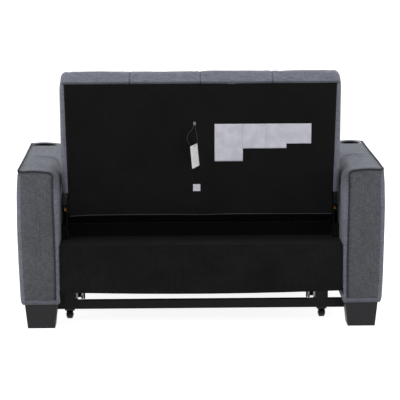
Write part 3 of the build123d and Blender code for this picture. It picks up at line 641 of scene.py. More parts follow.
def end_ring(turn, end):
    """One ring of the rounding at an end, which is -1 or 1. Each point lies the rounding's sine
    along Y, less the seam's pinch, and one minus its cosine inwards."""
    pinch = SEAM_PINCH * seamed * np.sin(turn) ** 6
    y = ARM_END - arm_round + arm_round * np.sin(turn) - pinch
    return end * y, arm_round * (1 - np.cos(turn))


def arm_rows():
    """Rings of the arm from front to rear: a rounded end, the plain body, a rounded end."""
    turns, plain = np.radians(np.linspace(90, 0, 7)), np.zeros(len(arm_section))
    rows = [end_ring(turn, -1) for turn in turns]
    rows += [(plain + y, plain) for y in np.linspace(-BODY_END, BODY_END, 82)]
    rows += [end_ring(turn, 1) for turn in turns[::-1]]
    stack = []
    for y, inset in rows:
        flat = arm_section + arm_inset * inset[:, None]
        stack.append(np.stack([flat[:, 0], y, flat[:, 1]], -1))
    return np.array(stack)


arm_stack = arm_rows()
print("arm rings", len(arm_stack))

# %% [markdown]
# The boxing strip is one long piece of cloth, a little slack beside the backrest. One fold crosses
# each arm there: square over the top, then swept back along the inner edge. Its groove is in the
# mesh. At its bottom hardly any light arrives, which the broad lamps can't show, so the same line
# also darkens the cloth.

# %% The fold across the arm
FOLD_Y, FOLD_SWEEP, FOLD_TURN, FOLD_DROP = 0.034, 0.150, 0.014, 1.1
FOLD_EDGE, FOLD_CORNER = ARM_INNER + 0.003, ARM_TOP - 0.03


def fold_line(x, z):
    """Where the fold runs, as Y: FOLD_Y over the top, plus a sweep that dies away from the inner
    edge by FOLD_TURN, plus a slope of FOLD_DROP down the inner face."""
    sweep = FOLD_SWEEP * np.exp(-(x - FOLD_EDGE).clip(0) / FOLD_TURN)
    return FOLD_Y + sweep + FOLD_DROP * (FOLD_CORNER - z).clip(0)


def fold_rise(x, y, z):
    """The fold's section, in metres: a bell-shaped groove on the line, and a lip on both sides. It
    fades towards the outer edge and down the inner face."""
    bend = y - fold_line(x, z)
    groove = 0.0012 + 0.0068 * smoothstep(x, 0.518, 0.540)
    section = (0.0046 * ridge(bend - 0.048, 0.026) + 0.0018 * ridge(bend + 0.040, 0.024)
               - groove * ridge(bend, 0.022))
    inner_side = 1 - smoothstep(x, 0.590, 0.628)
    return section * inner_side * smoothstep(z, ARM_TOP - 0.14, ARM_TOP - 0.05)


def arm_shade(x, y, z):
    """Painted shade along the same line, in shader maths: darkest in the groove, half dark on
    the edge behind it, where the backrest keeps the light off.
    """
    x = x.size().at_least(FOLD_EDGE)
    sweep = ((x - FOLD_EDGE) * (-1 / FOLD_TURN)).exp() * FOLD_SWEEP
    bend = y - FOLD_Y - sweep - (FOLD_CORNER - z).at_least(0.0) * FOLD_DROP
    groove = (1 - (bend - 0.008).size().ramp(0.000, 0.058)) * (1 - x.ramp(0.520, 0.600)) * 0.74
    behind = bend.ramp(-0.030, 0.060) * (1 - x.ramp(0.504, 0.552)) * 0.42
    return (1 - (1 - groove) * (1 - behind)) * z.ramp(0.470, 0.552)


arm_fabric = woven("grey_fabric_arm", *GREY_YARNS, sheen=0.10, shade=arm_shade)
print("fold at Y", np.round(fold_line(np.array([0.507, 0.540, 0.600]), np.full(3, ARM_TOP)), 3))

# %% Creases of the arm
def arm_creases(points, seed):
    """How far the cloth stands out, in metres: two sizes of noise, a long soft fold beside the
    backrest, the fold across, a fuller front edge, short puckers beside the seams, and slow waves
    on the end panels."""
    x, y, z = points.T
    rise = 0.0011 * smooth_noise(points, 0.11, seed) + 0.0005 * smooth_noise(points, 0.04, seed + 1)
    top = smoothstep(z, ARM_TOP - 0.05, ARM_TOP - 0.006)
    fold, along = from_line(points, (0.572, 0.03, ARM_TOP), (0.512, 0.392, ARM_TOP - 0.006))
    beside, _ = from_line(points, (0.583, 0.10, ARM_TOP), (0.538, 0.402, ARM_TOP - 0.003))
    long_fold = 0.0016 * ridge(fold, 0.013) - 0.0014 * ridge(beside, 0.016)
    rise += top * long_fold * smoothstep(along, 0.0, 0.35)
    rise += fold_rise(x, y, z)
    front_edge = smoothstep(-y, 0.383, 0.394) * (1 - smoothstep(-y, 0.4055, 0.4095))
    rise += 0.0030 * front_edge * smoothstep(z, ARM_TOP - 0.012, ARM_TOP - 0.003)
    wave = np.sin(z * 2 * pi / 0.045 + 2 * smooth_noise(points, 0.06, seed + 2))
    end = smoothstep(np.abs(y), ARM_END - 0.05, ARM_END - 0.012) * (np.abs(y) < ARM_END - 0.004)
    boxing = 1 - smoothstep(x, ARM_INNER + 0.02, ARM_INNER + 0.04)
    rise += 0.0007 * wave * end * boxing
    panel = np.abs(y) > ARM_END - 0.003
    middle = smoothstep(ARM_OUTER - x, 0.0, 0.03) * smoothstep(x - ARM_INNER, 0.01, 0.045)
    waves = smooth_noise(points * np.array([1.0, 0.0, 0.6]), 0.05, seed + 3)
    rise += panel * middle * 0.0012 * waves
    return rise


sample = np.array([[0.560, -0.10, ARM_TOP], [0.600, -0.10, ARM_TOP]])
print("creases at two places on the top", np.round(1000 * arm_creases(sample, 11), 2), "mm")

# %% [markdown]
# A plastic cup holder is let into each arm top near its front end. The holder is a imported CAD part,
# so the padding only needs a round well for it. A Boolean cuts one cleanly through the grid,
# however the grid's points lie there.

# %% Well for the cup holder
CUP_X, CUP_Y, WELL_RADIUS, WELL_FLOOR, WELL_MOUTH = 0.5935, -0.350, 0.0415, 0.5085, 0.6
WELL_SIDES = 64


def cut_well(piece, x, y):
    """A round well down into the padding for the cup holder, cut by a Boolean with a round bar."""
    turn = 2 * pi * np.arange(WELL_SIDES) / WELL_SIDES
    ring = np.stack([x + WELL_RADIUS * np.cos(turn), y + WELL_RADIUS * np.sin(turn), 0 * turn], -1)
    points = np.concatenate([ring + (0, 0, WELL_FLOOR), ring + (0, 0, WELL_MOUTH)])
    mesh = bpy.data.meshes.new("well")
    mesh.from_pydata(points.tolist(), [], outward(points, closed_faces(2, WELL_SIDES)))
    bar = bpy.data.objects.new("well", mesh)
    bpy.context.scene.collection.objects.link(bar)
    cutter = piece.modifiers.new("well", "BOOLEAN")
    cutter.object, cutter.operation, cutter.solver = bar, "DIFFERENCE", "EXACT"
    apply_modifiers(piece)
    bpy.data.objects.remove(bar)


def apply_modifiers(piece):
    """Replace the mesh by what its modifiers make of it, and take the modifiers off."""
    graph = bpy.context.evaluated_depsgraph_get()
    made = bpy.data.meshes.new_from_object(piece.evaluated_get(graph))
    piece.modifiers.clear()
    piece.data = made


def mirrored(points, faces, sign):
    """The +X piece as it is, or for the right arm its mirror image, with its faces turned round."""
    if sign > 0:
        return points, faces
    return points * np.array([-1, 1, 1]), [list(f)[::-1] for f in faces]


print("well", 2000 * WELL_RADIUS, "mm wide,", round(1000 * (ARM_TOP - WELL_FLOOR), 1), "mm deep")

# %% [markdown]
# Both arms come from one set of points: the right one is the mirror image. Each has a seed of its
# own, so that the creases of the two differ. The end panels are painted darker, as shade, with a
# shaded copy of the same cloth, which is a second material on the same mesh.

# %% Arm paddings
SPINE_X, SPINE_LOW, SPINE_HIGH = 0.580, 0.165, 0.495
spine = np.stack([np.full(len(arm_section), SPINE_X), np.zeros(len(arm_section)),
                  np.clip(arm_section[:, 1], SPINE_LOW, SPINE_HIGH)], -1)
middles = [spine + (0, arm_stack[end, 0, 1], 0) for end in (0, -1)]
arm_points, arm_faces = capped_block(arm_stack, middles, axis=1)
arm_row = np.arange(len(arm_faces)) // len(arm_section)
arm_on_panel = (arm_row < len(CAP_SHARES)) | (arm_row > len(arm_stack) + len(CAP_SHARES) - 2)
ARMS = (("left", 1, 11), ("right", -1, 57))
for side, sign, seed in ARMS:
    points, faces = mirrored(arm_points, arm_faces, sign)
    arm = add_piece(f"arm_padding_{side}", points, faces, "root", arm_fabric)
    arm.data.materials.append(panel_shaded_fabric.material)
    arm.data.polygons.foreach_set("material_index", arm_on_panel.astype(np.int32))
    swell(arm, lambda p, n: arm_creases(p * np.array([sign, 1, 1]), seed))
    cut_well(arm, sign * CUP_X, CUP_Y)
    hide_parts(f"arm_pad_{side}")
print("arm points", len(arm_points))

# %% [markdown]
# Piping closes both end panels and runs along the outer top edge. It is self-covered, and painted
# dark as the shade in the groove beside it. At the ends it follows the rounded outline up and over
# to the outer corner, where a short nib tucks in under the top edge.

# %% Arm piping
END_PIPING, TOP_PIPING = 0.0032, 0.0035
seam_end = int(np.argmax(arm_section[:, 0] > ARM_OUTER - 0.0050)) + 1
drawn = (arm_section + arm_inset * arm_round[:, None])[2:seam_end]
for side, sign, seed in ARMS:
    for end, name in ((1, "rear"), (-1, "front")):
        path = np.stack([sign * drawn[:, 0], np.full(len(drawn), end * (ARM_END + 0.0002)),
                         drawn[:, 1]], -1)
        nib = path[-1] + np.array([sign * 0.0040, 0, 0.0010])
        welt(f"arm_piping_{name}_{side}", np.vstack([path, nib]), END_PIPING, "root",
             piping_shaded_fabric)
    y = np.linspace(-ARM_END - 0.001, ARM_END + 0.001, 90)
    edge = np.stack(np.broadcast_arrays(sign * (ARM_OUTER - 0.0040), y, ARM_TOP + 0.0002), -1)
    edge[:, 2] += 0.0009 * smooth_noise(edge, 0.09, seed + 7)
    edge[:, 0] += sign * 0.0010 * smooth_noise(edge, 0.12, seed + 8)
    welt(f"arm_piping_top_{side}", edge, TOP_PIPING, "root", piping_shaded_fabric)
print("piping", 2000 * END_PIPING, "and", 2000 * TOP_PIPING, "mm thick,", len(drawn), "points")

# %% [markdown]
# ## Backrest cushion
#
# The cushion has four upright channels. Its side view is a closed outline in two directions: out,
# towards the rear face, and up, along the leaning back. The outline is carried across the width,
# and at each seam the front and top are pulled in, so that the foam stands proud between seams.

# %% Backrest frame of reference
PIVOT = np.array([0.0, 0.210, 0.4013])
LEAN = radians(10.4)
BACK_UP = np.array([0.0, sin(LEAN), cos(LEAN)])
BACK_OUT = np.array([0.0, cos(LEAN), -sin(LEAN)])
SEAMS = np.array([-0.255, 0.0, 0.250])


def on_back(x, out, up):
    """Points of the leaning backrest from across, out and up, in metres."""
    x, out, up = np.broadcast_arrays(x, out, up)
    return (x[..., None] * np.array([1.0, 0, 0]) + PIVOT + out[..., None] * BACK_OUT
            + up[..., None] * BACK_UP)


print("top of the back, 0.5 m up, is at", np.round(on_back(0.0, 0.0, 0.5), 3))

# %% [markdown]
# Between two seams the foam stands up in a channel. Its depth is a steep curve: nearly flat over
# the middle, then down to the stitches in a few centimetres. Points lie closer together there,
# since an even grid would cut the corner off.

# %% Channels
ACROSS_STEP, SEAM_FOLLOW = 0.011, 0.022
BESIDE_SEAM = np.array([0.0, 0.0012, 0.003, 0.006, 0.010, 0.015, 0.021, 0.029])


def channel_depth(x, half):
    """How far below the crest a channelled cushion is: 0 mid-channel and 1 at a seam, by the curve
    1 - (1 - away ** 2.6) ** 0.55, and a third of that, more slowly, at an outer edge."""
    stops = np.array([-half, *SEAMS, half])
    index = np.clip(np.searchsorted(stops, x) - 1, 0, len(stops) - 2)
    middle = (stops[index] + stops[index + 1]) / 2
    width = (stops[index + 1] - stops[index]) / 2
    away = np.clip(np.abs(x - middle) / width, 0, 1)
    edge = ((index == 0) & (x < middle)) | ((index == len(stops) - 2) & (x > middle))
    depth = 1 - (1 - away ** 2.6) ** 0.55
    return np.where(edge, 0.35 * away ** 3, depth)


def across(half, edge, seams):
    """Places across a cushion, closer together beside each seam, and none within edge of a side."""
    marks = [np.arange(-half + edge, half - edge, ACROSS_STEP), [half - edge, -half + edge]]
    marks += [seam + sign * BESIDE_SEAM for seam in seams for sign in (-1, 1)]
    places = np.unique(np.round(np.concatenate(marks), 4))
    keep = [True]
    for a, b in zip(places, places[1:]):
        close = min(abs(b - seams)) < 0.03 if len(seams) else False
        keep.append(close or b - a > 0.0035)
    return places[np.array(keep)]


def seam_puckers(points, seed):
    """Short folds that run away from each seam, where the thread gathers the cloth: noise stretched
    along X, full at 2 mm from the stitches and dying away from there."""
    total = np.zeros(len(points))
    for number, seam in enumerate(SEAMS):
        away = np.abs(points[:, 0] - seam)
        wave = smooth_noise(points * np.array([0.15, 1, 1]), 0.017, seed + number)
        total += 0.0013 * wave * np.exp(-away / SEAM_FOLLOW) * (1 - np.exp(-away / 0.002))
    return total


print("stations across a cushion", len(across(0.5, 0.025, SEAMS)))

# %% Cushions
MIDDLE_DRAW = 0.62


def side_rings(outline, rounding, half, turns):
    """Rings for a rounded side of a block carried along X, rounded as the arm's ends are."""
    inset = inward(outline)
    rings = []
    for turn in np.radians(np.linspace(0, 90, turns)):
        flat = outline + inset * (rounding * (1 - np.cos(turn)))[:, None]
        rings.append((half - rounding + rounding * np.sin(turn), flat))
    return rings


def cushion_block(outline_at, rounding, half, seams, place, turns=7):
    """A cushion carried along X: outline_at gives its outline at any x, its sides are rounded and
    closed by caps, and place puts the points where they belong."""
    reach = float(rounding.max())
    stations = across(half, reach + 0.002, seams)
    low_side, high_side = [
        [np.concatenate([sign * depth[:, None], flat], -1)
         for depth, flat in side_rings(outline_at(sign * (half - reach)), rounding, half, turns)]
        for sign in (-1, 1)]
    body = [np.concatenate([np.full((len(rounding), 1), x), outline_at(x)], -1) for x in stations]
    stack = np.array(low_side[::-1] + body + high_side)
    middles = []
    for rim in (stack[0], stack[-1]):
        drawn_in = rim[:, 1:].mean(0) * MIDDLE_DRAW + rim[:, 1:] * (1 - MIDDLE_DRAW)
        middles.append(np.concatenate([rim[:, :1], drawn_in], -1))
    flat_points, faces = capped_block(stack, middles, axis=0, rise=0.8)
    points = place(flat_points[:, 0], flat_points[:, 1], flat_points[:, 2])
    return points, outward(points, faces)


def as_drawn(x, y, z):
    """Points of a piece that doesn't lean: its three measures as they are."""
    return np.stack([x, y, z], -1)


print("a side's caps meet at", MIDDLE_DRAW, "of the way to its centre")

# %% [markdown]
# A cushion's cover is cloth under pressure. The Cloth simulation blows each cover up for a few
# frames while its seams, its sides and the face that rests on a board are pinned. The cloth is cut
# a little too large, so that it wrinkles where the pins hold it. The result is stored in the mesh.

# %% Cloth under pressure
CLOTH_FRAMES = 20
COVER_CLOTH = {"quality": 6, "mass": 0.3, "tension_stiffness": 18, "compression_stiffness": 18,
               "shear_stiffness": 8, "bending_stiffness": 0.6, "air_damping": 4,
               "use_pressure": True, "uniform_pressure_force": 3.2, "shrink_min": -0.012,
               "vertex_group_mass": "held"}


def inflate(piece, held, cap, limits):
    """Run Cloth with pressure on a piece. held gives each point's pin weight from 0 to 1, cap is
    the longest move allowed, and limits are the low and high corner that no point may pass."""
    mesh = piece.data
    start = read_vectors(mesh.vertices, "co")
    weights = np.round(held(start), 2)
    group = piece.vertex_groups.new(name="held")
    for weight in np.unique(weights[weights > 0]):
        group.add(np.flatnonzero(weights == weight).tolist(), float(weight), "REPLACE")
    cloth = piece.modifiers.new("cover", "CLOTH")
    for name, value in COVER_CLOTH.items():
        setattr(cloth.settings, name, value)
    cloth.settings.effector_weights.gravity = 0
    cloth.collision_settings.use_collision = False
    cloth.point_cache.frame_start, cloth.point_cache.frame_end = 1, CLOTH_FRAMES
    for number in range(1, CLOTH_FRAMES + 1):
        bpy.context.scene.frame_set(number)
    moved = piece.evaluated_get(bpy.context.evaluated_depsgraph_get()).to_mesh()
    points = read_vectors(moved.vertices, "co")
    piece.modifiers.remove(cloth)
    piece.vertex_groups.clear()
    bpy.context.scene.frame_set(1)
    step = points - start
    length = np.linalg.norm(step, axis=1)[:, None]
    points = start + step * np.minimum(1, cap / np.maximum(length, 1e-9))
    points = np.clip(points, limits[0], limits[1])
    mesh.vertices.foreach_set("co", points.ravel())
    mesh.update()
    print(piece.name, "cloth moved by up to", round(float(length.max()) * 1000, 1), "mm, mean",
          round(float(length.mean()) * 1000, 1))


def smoothed(piece):
    """One subdivision, the same in the viewport and in the render."""
    finer = piece.modifiers.new("finer", "SUBSURF")
    finer.levels = finer.render_levels = 1


SEAM_PIN, SEAM_FREE = 0.0016, 0.004


def near_seam(x):
    """1 within SEAM_PIN of a seam, falling to 0 at SEAM_FREE from it."""
    away = np.abs(x[:, None] - SEAMS).min(axis=1)
    return 1 - smoothstep(away, SEAM_PIN, SEAM_FREE)


print("pinned at", near_seam(np.array([0.0, 0.003, 0.1])).round(2), "of full, 0, 3 and 100 mm off")

# %% Backrest cushion, its side view
BACK_HALF, STITCH_WIDTH = 0.4960, 0.0026
REAR_LOW, REAR_HIGH, CROWN_HIGH = 0.0945, 0.499, 0.5285
FRONT_OUT, REAR_OUT = -0.0125, 0.0970
turn = np.radians(np.linspace(0, 180, 44))
base = REAR_HIGH - 0.052 * (1 - np.cos(turn)) / 2
flat_cosine = np.sign(np.cos(turn)) * np.abs(np.cos(turn)) ** 0.72
crown = np.stack([(REAR_OUT + FRONT_OUT) / 2 + (REAR_OUT - FRONT_OUT) / 2 * flat_cosine,
                  base + (CROWN_HIGH - base) * np.sin(turn) ** 0.80], -1)
rear_face = np.stack([np.full(34, REAR_OUT), np.linspace(REAR_LOW, REAR_HIGH - 0.010, 34)], -1)
front_face = np.stack([np.full(36, FRONT_OUT), np.linspace(0.432, REAR_LOW, 36)], -1)
front_face[:, 0] += 0.006 * (1 - smoothstep(front_face[:, 1], REAR_LOW, 0.15))
under = np.stack([np.linspace(-0.002, 0.092, 10), np.full(10, REAR_LOW - 0.0005)], -1)
back_section = np.concatenate([rear_face, crown, front_face, under])
print("back outline", len(back_section), "points")

# %% Backrest cushion, its seams
facing_front = smoothstep(0.094 - back_section[:, 0], 0.004, 0.050)
on_top = smoothstep(back_section[:, 1], 0.44, 0.52)
pull = 0.0140 * (1 - on_top) * facing_front + 0.0024 * on_top
back_inset = inward(back_section)
back_round = 0.010 + 0.014 * np.maximum(facing_front, smoothstep(back_section[:, 1], 0.49, 0.515))


def stitch_groove(x):
    """1 at a line of stitches, falling away within a few millimetres, as a bell curve does."""
    return ridge(np.abs(x - SEAMS).min(), STITCH_WIDTH)


def back_ring(x):
    """One ring of the cushion at x, drawn in by the channel's depth and on top by the stitches."""
    depth = pull * channel_depth(np.full(1, x), BACK_HALF) + 0.0020 * on_top * stitch_groove(x)
    return back_section + back_inset * depth[:, None]


def seam_lines(x, reach):
    """1 along each of the three seams, in shader maths, gone at reach metres from it."""
    lines = [1 - (x - float(seam)).size().ramp(0.0006, reach) for seam in SEAMS]
    return lines[0] + lines[1] + lines[2]


def back_shade(x, y, z):
    """Painted shade: dark lines along the seams, one where the black cover is sewn to the cushion,
    and the low part of both sides, which the arms keep in shadow."""
    up = y * sin(LEAN) + z * cos(LEAN) - float(PIVOT @ BACK_UP)
    out = y * cos(LEAN) - z * sin(LEAN) - float(PIVOT @ BACK_OUT)
    edge = (1 - (up - 0.5025).size().ramp(0.002, 0.0075)) * out.ramp(0.085, 0.093)
    strength = 0.75 - out.ramp(0.02, 0.08) * 0.40
    beside_arm = x.size().ramp(0.474, 0.490) * (1 - up.ramp(0.12, 0.20)) * out.ramp(0.02, 0.06)
    return seam_lines(x, 0.0038) * strength + edge * 0.6 + beside_arm * 0.6


back_fabric = woven("grey_fabric_back", linear(87, 89, 98), linear(137, 140, 152), shade=back_shade)
points, faces = cushion_block(back_ring, back_round, BACK_HALF, SEAMS, on_back)
back_upper = add_piece("back_cushion_upper", points, faces, "backrest", back_fabric)
print("back cushion", len(points), "points")


# %% Backrest cushion, its cloth
def back_creases(points, normals):
    """Slow hollows in the foam over front and top, puckers at the seams, small waves on top."""
    up = (points - PIVOT) @ BACK_UP
    front = smoothstep(-normals @ BACK_OUT, -0.2, 0.5)
    rise = 0.0016 * smooth_noise(points, 0.13, 21) + 0.0007 * smooth_noise(points, 0.05, 22)
    rise = rise * np.maximum(front, smoothstep(up, 0.47, 0.50))
    rise += seam_puckers(points, 31) * front
    fine = smooth_noise(points * np.array([0.4, 1, 1]), 0.03, 36)
    rise += 0.0007 * fine * smoothstep(up, 0.48, 0.51)
    return rise


def back_held(points):
    """Pinned: seams, rear face and underside. The front, the top and the sides are free."""
    out, up = (points - PIVOT) @ BACK_OUT, (points - PIVOT) @ BACK_UP
    rear = smoothstep(out, 0.080, 0.094) * (1 - smoothstep(up, 0.497, 0.515))
    seamed_part = near_seam(points[:, 0]) * (1 - smoothstep(out, 0.060, 0.085))
    side = smoothstep(np.abs(points[:, 0]), BACK_HALF - 0.006, BACK_HALF - 0.001)
    low = 1 - smoothstep(up, 0.098, 0.108)
    return np.maximum.reduce([rear, seamed_part, 0.9 * side, low])


inflate(back_upper, back_held, 0.009, ((-0.4985, -1, 0), (0.4985, 1, 0.9165)))
swell(back_upper, back_creases)
smoothed(back_upper)
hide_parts("back_cushion")
crest = read_vectors(back_upper.data.vertices, "co")[:, 2].max()
print("crest of the back cushion at Z", round(float(crest), 4))

# %% [markdown]
# The lower end of the backrest is a narrower block in black cloth, so that the hinge leaves have
# room beside it. The rear is closed by one black non-woven cover with a hem along its lower edge.

# %% Backrest, lower block
SOFT_STEP, SOFT_TURNS = 0.014, 6


def soft_box(name, low, high, rounding, body, finish, place=as_drawn):
    """A padded block as wide on both sides of the middle, between two corners: four arcs joined by
    straight runs, carried along X."""
    corners = [(high[1], low[2]), (high[1], high[2]), (low[1], high[2]), (low[1], low[2])]
    arcs = []
    for number, (y, z) in enumerate(corners):
        cy = y - rounding * np.sign(y - (low[1] + high[1]) / 2)
        cz = z - rounding * np.sign(z - (low[2] + high[2]) / 2)
        arcs.append(arc_points((cy, cz), rounding, -90 + 90 * number, 90 * number, SOFT_TURNS))
    outline = even_points(np.concatenate(arcs + [arcs[0][:1]]), SOFT_STEP)[:-1]
    points, faces = cushion_block(lambda x: outline, np.full(len(outline), rounding), high[0],
                                  np.array([]), place, SOFT_TURNS)
    return add_piece(name, points, faces, body, finish)


back_lower = soft_box("back_cushion_lower", (-0.4780, -0.010, 0.0135), (0.4780, 0.0970, 0.0945),
                      0.006, "backrest", black_nonwoven, on_back)
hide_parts("back_cushion")
print("lower block", len(back_lower.data.vertices), "points")


# %% Sheets of cloth
def sheet_grid(columns, rows, first=-1.0):
    """Two measures over a sheet: from first to 1 across it, and from 0 to 1 along it."""
    return np.meshgrid(np.linspace(first, 1, columns), np.linspace(0, 1, rows))


def add_sheet(name, points, body, finish, flat, thickness):
    """A cloth from a grid of points, given its thickness by Solidify, centred on the sheet."""
    rows, columns = points.shape[:2]
    sheet = add_piece(name, points, grid_quads(rows, columns), body, finish)
    wall = sheet.modifiers.new("wall", "SOLIDIFY")
    wall.thickness, wall.offset = thickness, 0.0
    return sheet


print("a grid of", sheet_grid(3, 2)[0].shape, "rows and columns")

# %% [markdown]
# The rear cover is held round its edge and lies tight over the lower block, so it is nearly flat
# there. Above that it may wave by a millimetre or two. One lower corner sags. Its hem is a folded
# edge that catches more light than the felt, so it is a paler cord along it: a painted highlight.

# %% Rear cover of the backrest
COVER_LOW, COVER_LONG, COVER_OUT, CORNER_SAG = 0.0125, 0.4880, 0.0981, 0.0040
u, v = sheet_grid(120, 64)
cover_half, cover_up = 0.473 + 0.009 * v, COVER_LOW + COVER_LONG * v
free = smoothstep(cover_up, 0.20, 0.25)
slack = (0.5 + 0.5 * flat_noise(u * cover_half, cover_up, 0.16, 41)) * (0.0004 + 0.0012 * free)
slack += 0.0004 * free * flat_noise(u * cover_half, cover_up, 0.03, 42)
edge = smoothstep(1 - np.abs(u), 0, 0.03) * smoothstep(1 - v, 0, 0.04)
sag = CORNER_SAG * smoothstep(u, 0.80, 1.0) * (1 - smoothstep(v, 0, 0.06))
back_cover = add_sheet("back_cover_sheet",
                       on_back(u * cover_half, COVER_OUT + slack * edge, cover_up - sag),
                       "backrest", black_nonwoven, (0.959, COVER_LONG),
                       0.0008)
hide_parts("back_cover")
hem_x = np.linspace(-0.4735, 0.4735, 160)
hem_up = COVER_LOW + 0.0010 + 0.0012 * flat_noise(hem_x, 0.0, 0.12, 44)
hem_up -= CORNER_SAG * smoothstep(hem_x, 0.378, 0.473)
# Painted highlight: the hem is the same felt, made paler where its fold catches light.
hem_highlight_cloth = nonwoven("black_nonwoven_hem", linear(50, 50, 52), linear(78, 78, 81), 0.8)
welt("back_cover_hem", on_back(hem_x, COVER_OUT + 0.0001, hem_up), 0.0016, "backrest",
     hem_highlight_cloth)
print("cover waves by up to", round(1000 * float(slack.max()), 1), "mm")

# %% [markdown]
# ## Seat
#
# Two pads lie on each other. The lower one is fixed; the upper one folds forward about hinges at
# its front edge to make the bed. The upper pad repeats the channels of the back.

# %% Upper seat pad, its side view
FLAP_LOW, FLAP_HIGH, SEAT_HALF = 0.4104, 0.4855, 0.5015
FRONT_BREAK, REAR_BREAK = 0.4465, 0.4600
turn = np.radians(np.linspace(0, 90, 16))
seat_front = np.stack([-0.364 - 0.028 * np.cos(turn[::-1]) ** 0.8,
                       FRONT_BREAK + (FLAP_HIGH - FRONT_BREAK) * np.sin(turn[::-1]) ** 0.9], -1)
seat_back = np.stack([0.163 + 0.022 * np.sin(turn) ** 0.9,
                      REAR_BREAK + (FLAP_HIGH - REAR_BREAK) * np.cos(turn) ** 0.9], -1)[::-1]
top_run = np.stack([np.linspace(0.150, -0.350, 44), np.full(44, FLAP_HIGH)], -1)
nose = np.stack([-0.386 - 0.006 * np.sin(np.radians(np.linspace(0, 90, 6)))[::-1],
                 np.linspace(0.436, 0.4165, 6)], -1)
foot = np.array([[-0.3885, 0.4128], [-0.383, FLAP_LOW + 0.0006]])
below = np.stack([np.linspace(-0.370, 0.178, 40), np.full(40, FLAP_LOW)], -1)
heel = np.array([[0.1828, 0.4125], [0.185, 0.420], [0.185, 0.4400]])
flap_section = np.concatenate([seat_back, top_run, seat_front, nose, foot, below, heel])
flap_inset = inward(flap_section)
upper_share = smoothstep(flap_section[:, 1], 0.425, 0.470)
flap_pull = 0.0095 * upper_share
flap_round = 0.010 + 0.016 * upper_share
print("flap outline", len(flap_section), "points")


# %% Upper seat pad
def flap_ring(x):
    """One ring of the pad at x, drawn in by the channel's depth on its top and front."""
    depth = flap_pull * channel_depth(np.full(1, x), SEAT_HALF)
    return flap_section + flap_inset * depth[:, None]


def seat_shade(x, y, z):
    """Painted shade: dark lines along the three seams, above the pad's lower edge."""
    return seam_lines(x, 0.0034) * 0.7 * z.ramp(0.425, 0.445)


seat_fabric = woven("grey_fabric_seat", *GREY_YARNS, shade=seat_shade)
points, faces = cushion_block(flap_ring, flap_round, SEAT_HALF, SEAMS, as_drawn)
seat_flap = add_piece("seat_cushion_upper", points, faces, "seat_flap", seat_fabric)


SEAT_WORN = 0.0014


def seat_creases(points, normals):
    """Hollows where people sit, and puckers at the seams, all SEAT_WORN lower than when new."""
    top = smoothstep(normals[:, 2], 0.0, 0.6) + 0.5 * smoothstep(-normals[:, 1], 0.3, 0.9)
    rise = 0.0017 * smooth_noise(points, 0.14, 61) + 0.0007 * smooth_noise(points, 0.05, 62)
    return (rise - SEAT_WORN + seam_puckers(points, 71)) * np.clip(top, 0, 1)


def seat_held(points):
    """Pinned: seams on the top and front, the underside and the rear end."""
    x, y, z = points.T
    seamed_part = near_seam(x) * smoothstep(z, 0.425, 0.450)
    side = smoothstep(np.abs(x), SEAT_HALF - 0.006, SEAT_HALF - 0.001)
    low = 1 - smoothstep(z, 0.416, 0.426)
    rear = smoothstep(y, 0.176, 0.184)
    return np.maximum.reduce([seamed_part, 0.9 * side, low, rear])


inflate(seat_flap, seat_held, 0.007, ((-0.5030, -0.3960, 0), (0.5030, 0.1862, 0.4880)))
swell(seat_flap, seat_creases)
smoothed(seat_flap)
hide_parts("seat_flap_pad")
print("upper seat pad", len(points), "points")

# %% Lower seat pad
seat_lower = soft_box("seat_cushion_lower", (-0.5015, -0.3915, 0.3456), (0.5015, 0.1845, 0.4096),
                      0.009, "root", grey_fabric)
seat_lower.data.materials.append(black_nonwoven.material)
faces = seat_lower.data.polygons
faces_rear = read_vectors(faces, "normal")[:, 1] > 0.5
faces.foreach_set("material_index", faces_rear.astype(np.int32))
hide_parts("seat_pad")
print("lower seat pad:", int(faces_rear.sum()), "faces at its rear are black")

# %% [markdown]
# The front panel belongs to the frame that pulls out. Its padding is a thin block over a board. A
# narrow band of the same fabric hides the edge of the deck above it.

# %% Front panel
front_pad = soft_box("front_panel_padding", (-0.4992, -0.4038, 0.0965), (0.4992, -0.3856, 0.3293),
                     0.005, "pull_out", grey_fabric)
swell(front_pad, lambda p, n: 0.0007 * smooth_noise(p, 0.10, 81) * smoothstep(-n[:, 1], 0.3, 0.8))
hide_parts("front_panel_pad")
BAND_HALF, BAND_TOP, BAND_LONG = 0.5005, 0.3465, 0.0150
deck_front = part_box("front_deck")[0][1]
u, v = sheet_grid(90, 8)
band = np.stack([u * BAND_HALF, deck_front - 0.0012 - 0.0006 * np.sin(pi * v),
                 BAND_TOP - BAND_LONG * v], -1)
add_sheet("seat_deck_band", band, "root", grey_fabric, (1.001, 0.015),
          0.0012)
print("front of the deck at Y", round(deck_front, 4))

# %% [markdown]
# The strap that pulls the bed out hangs from a box of stitches at its top, with a cross in it, and
# bellies out a little on its way down.

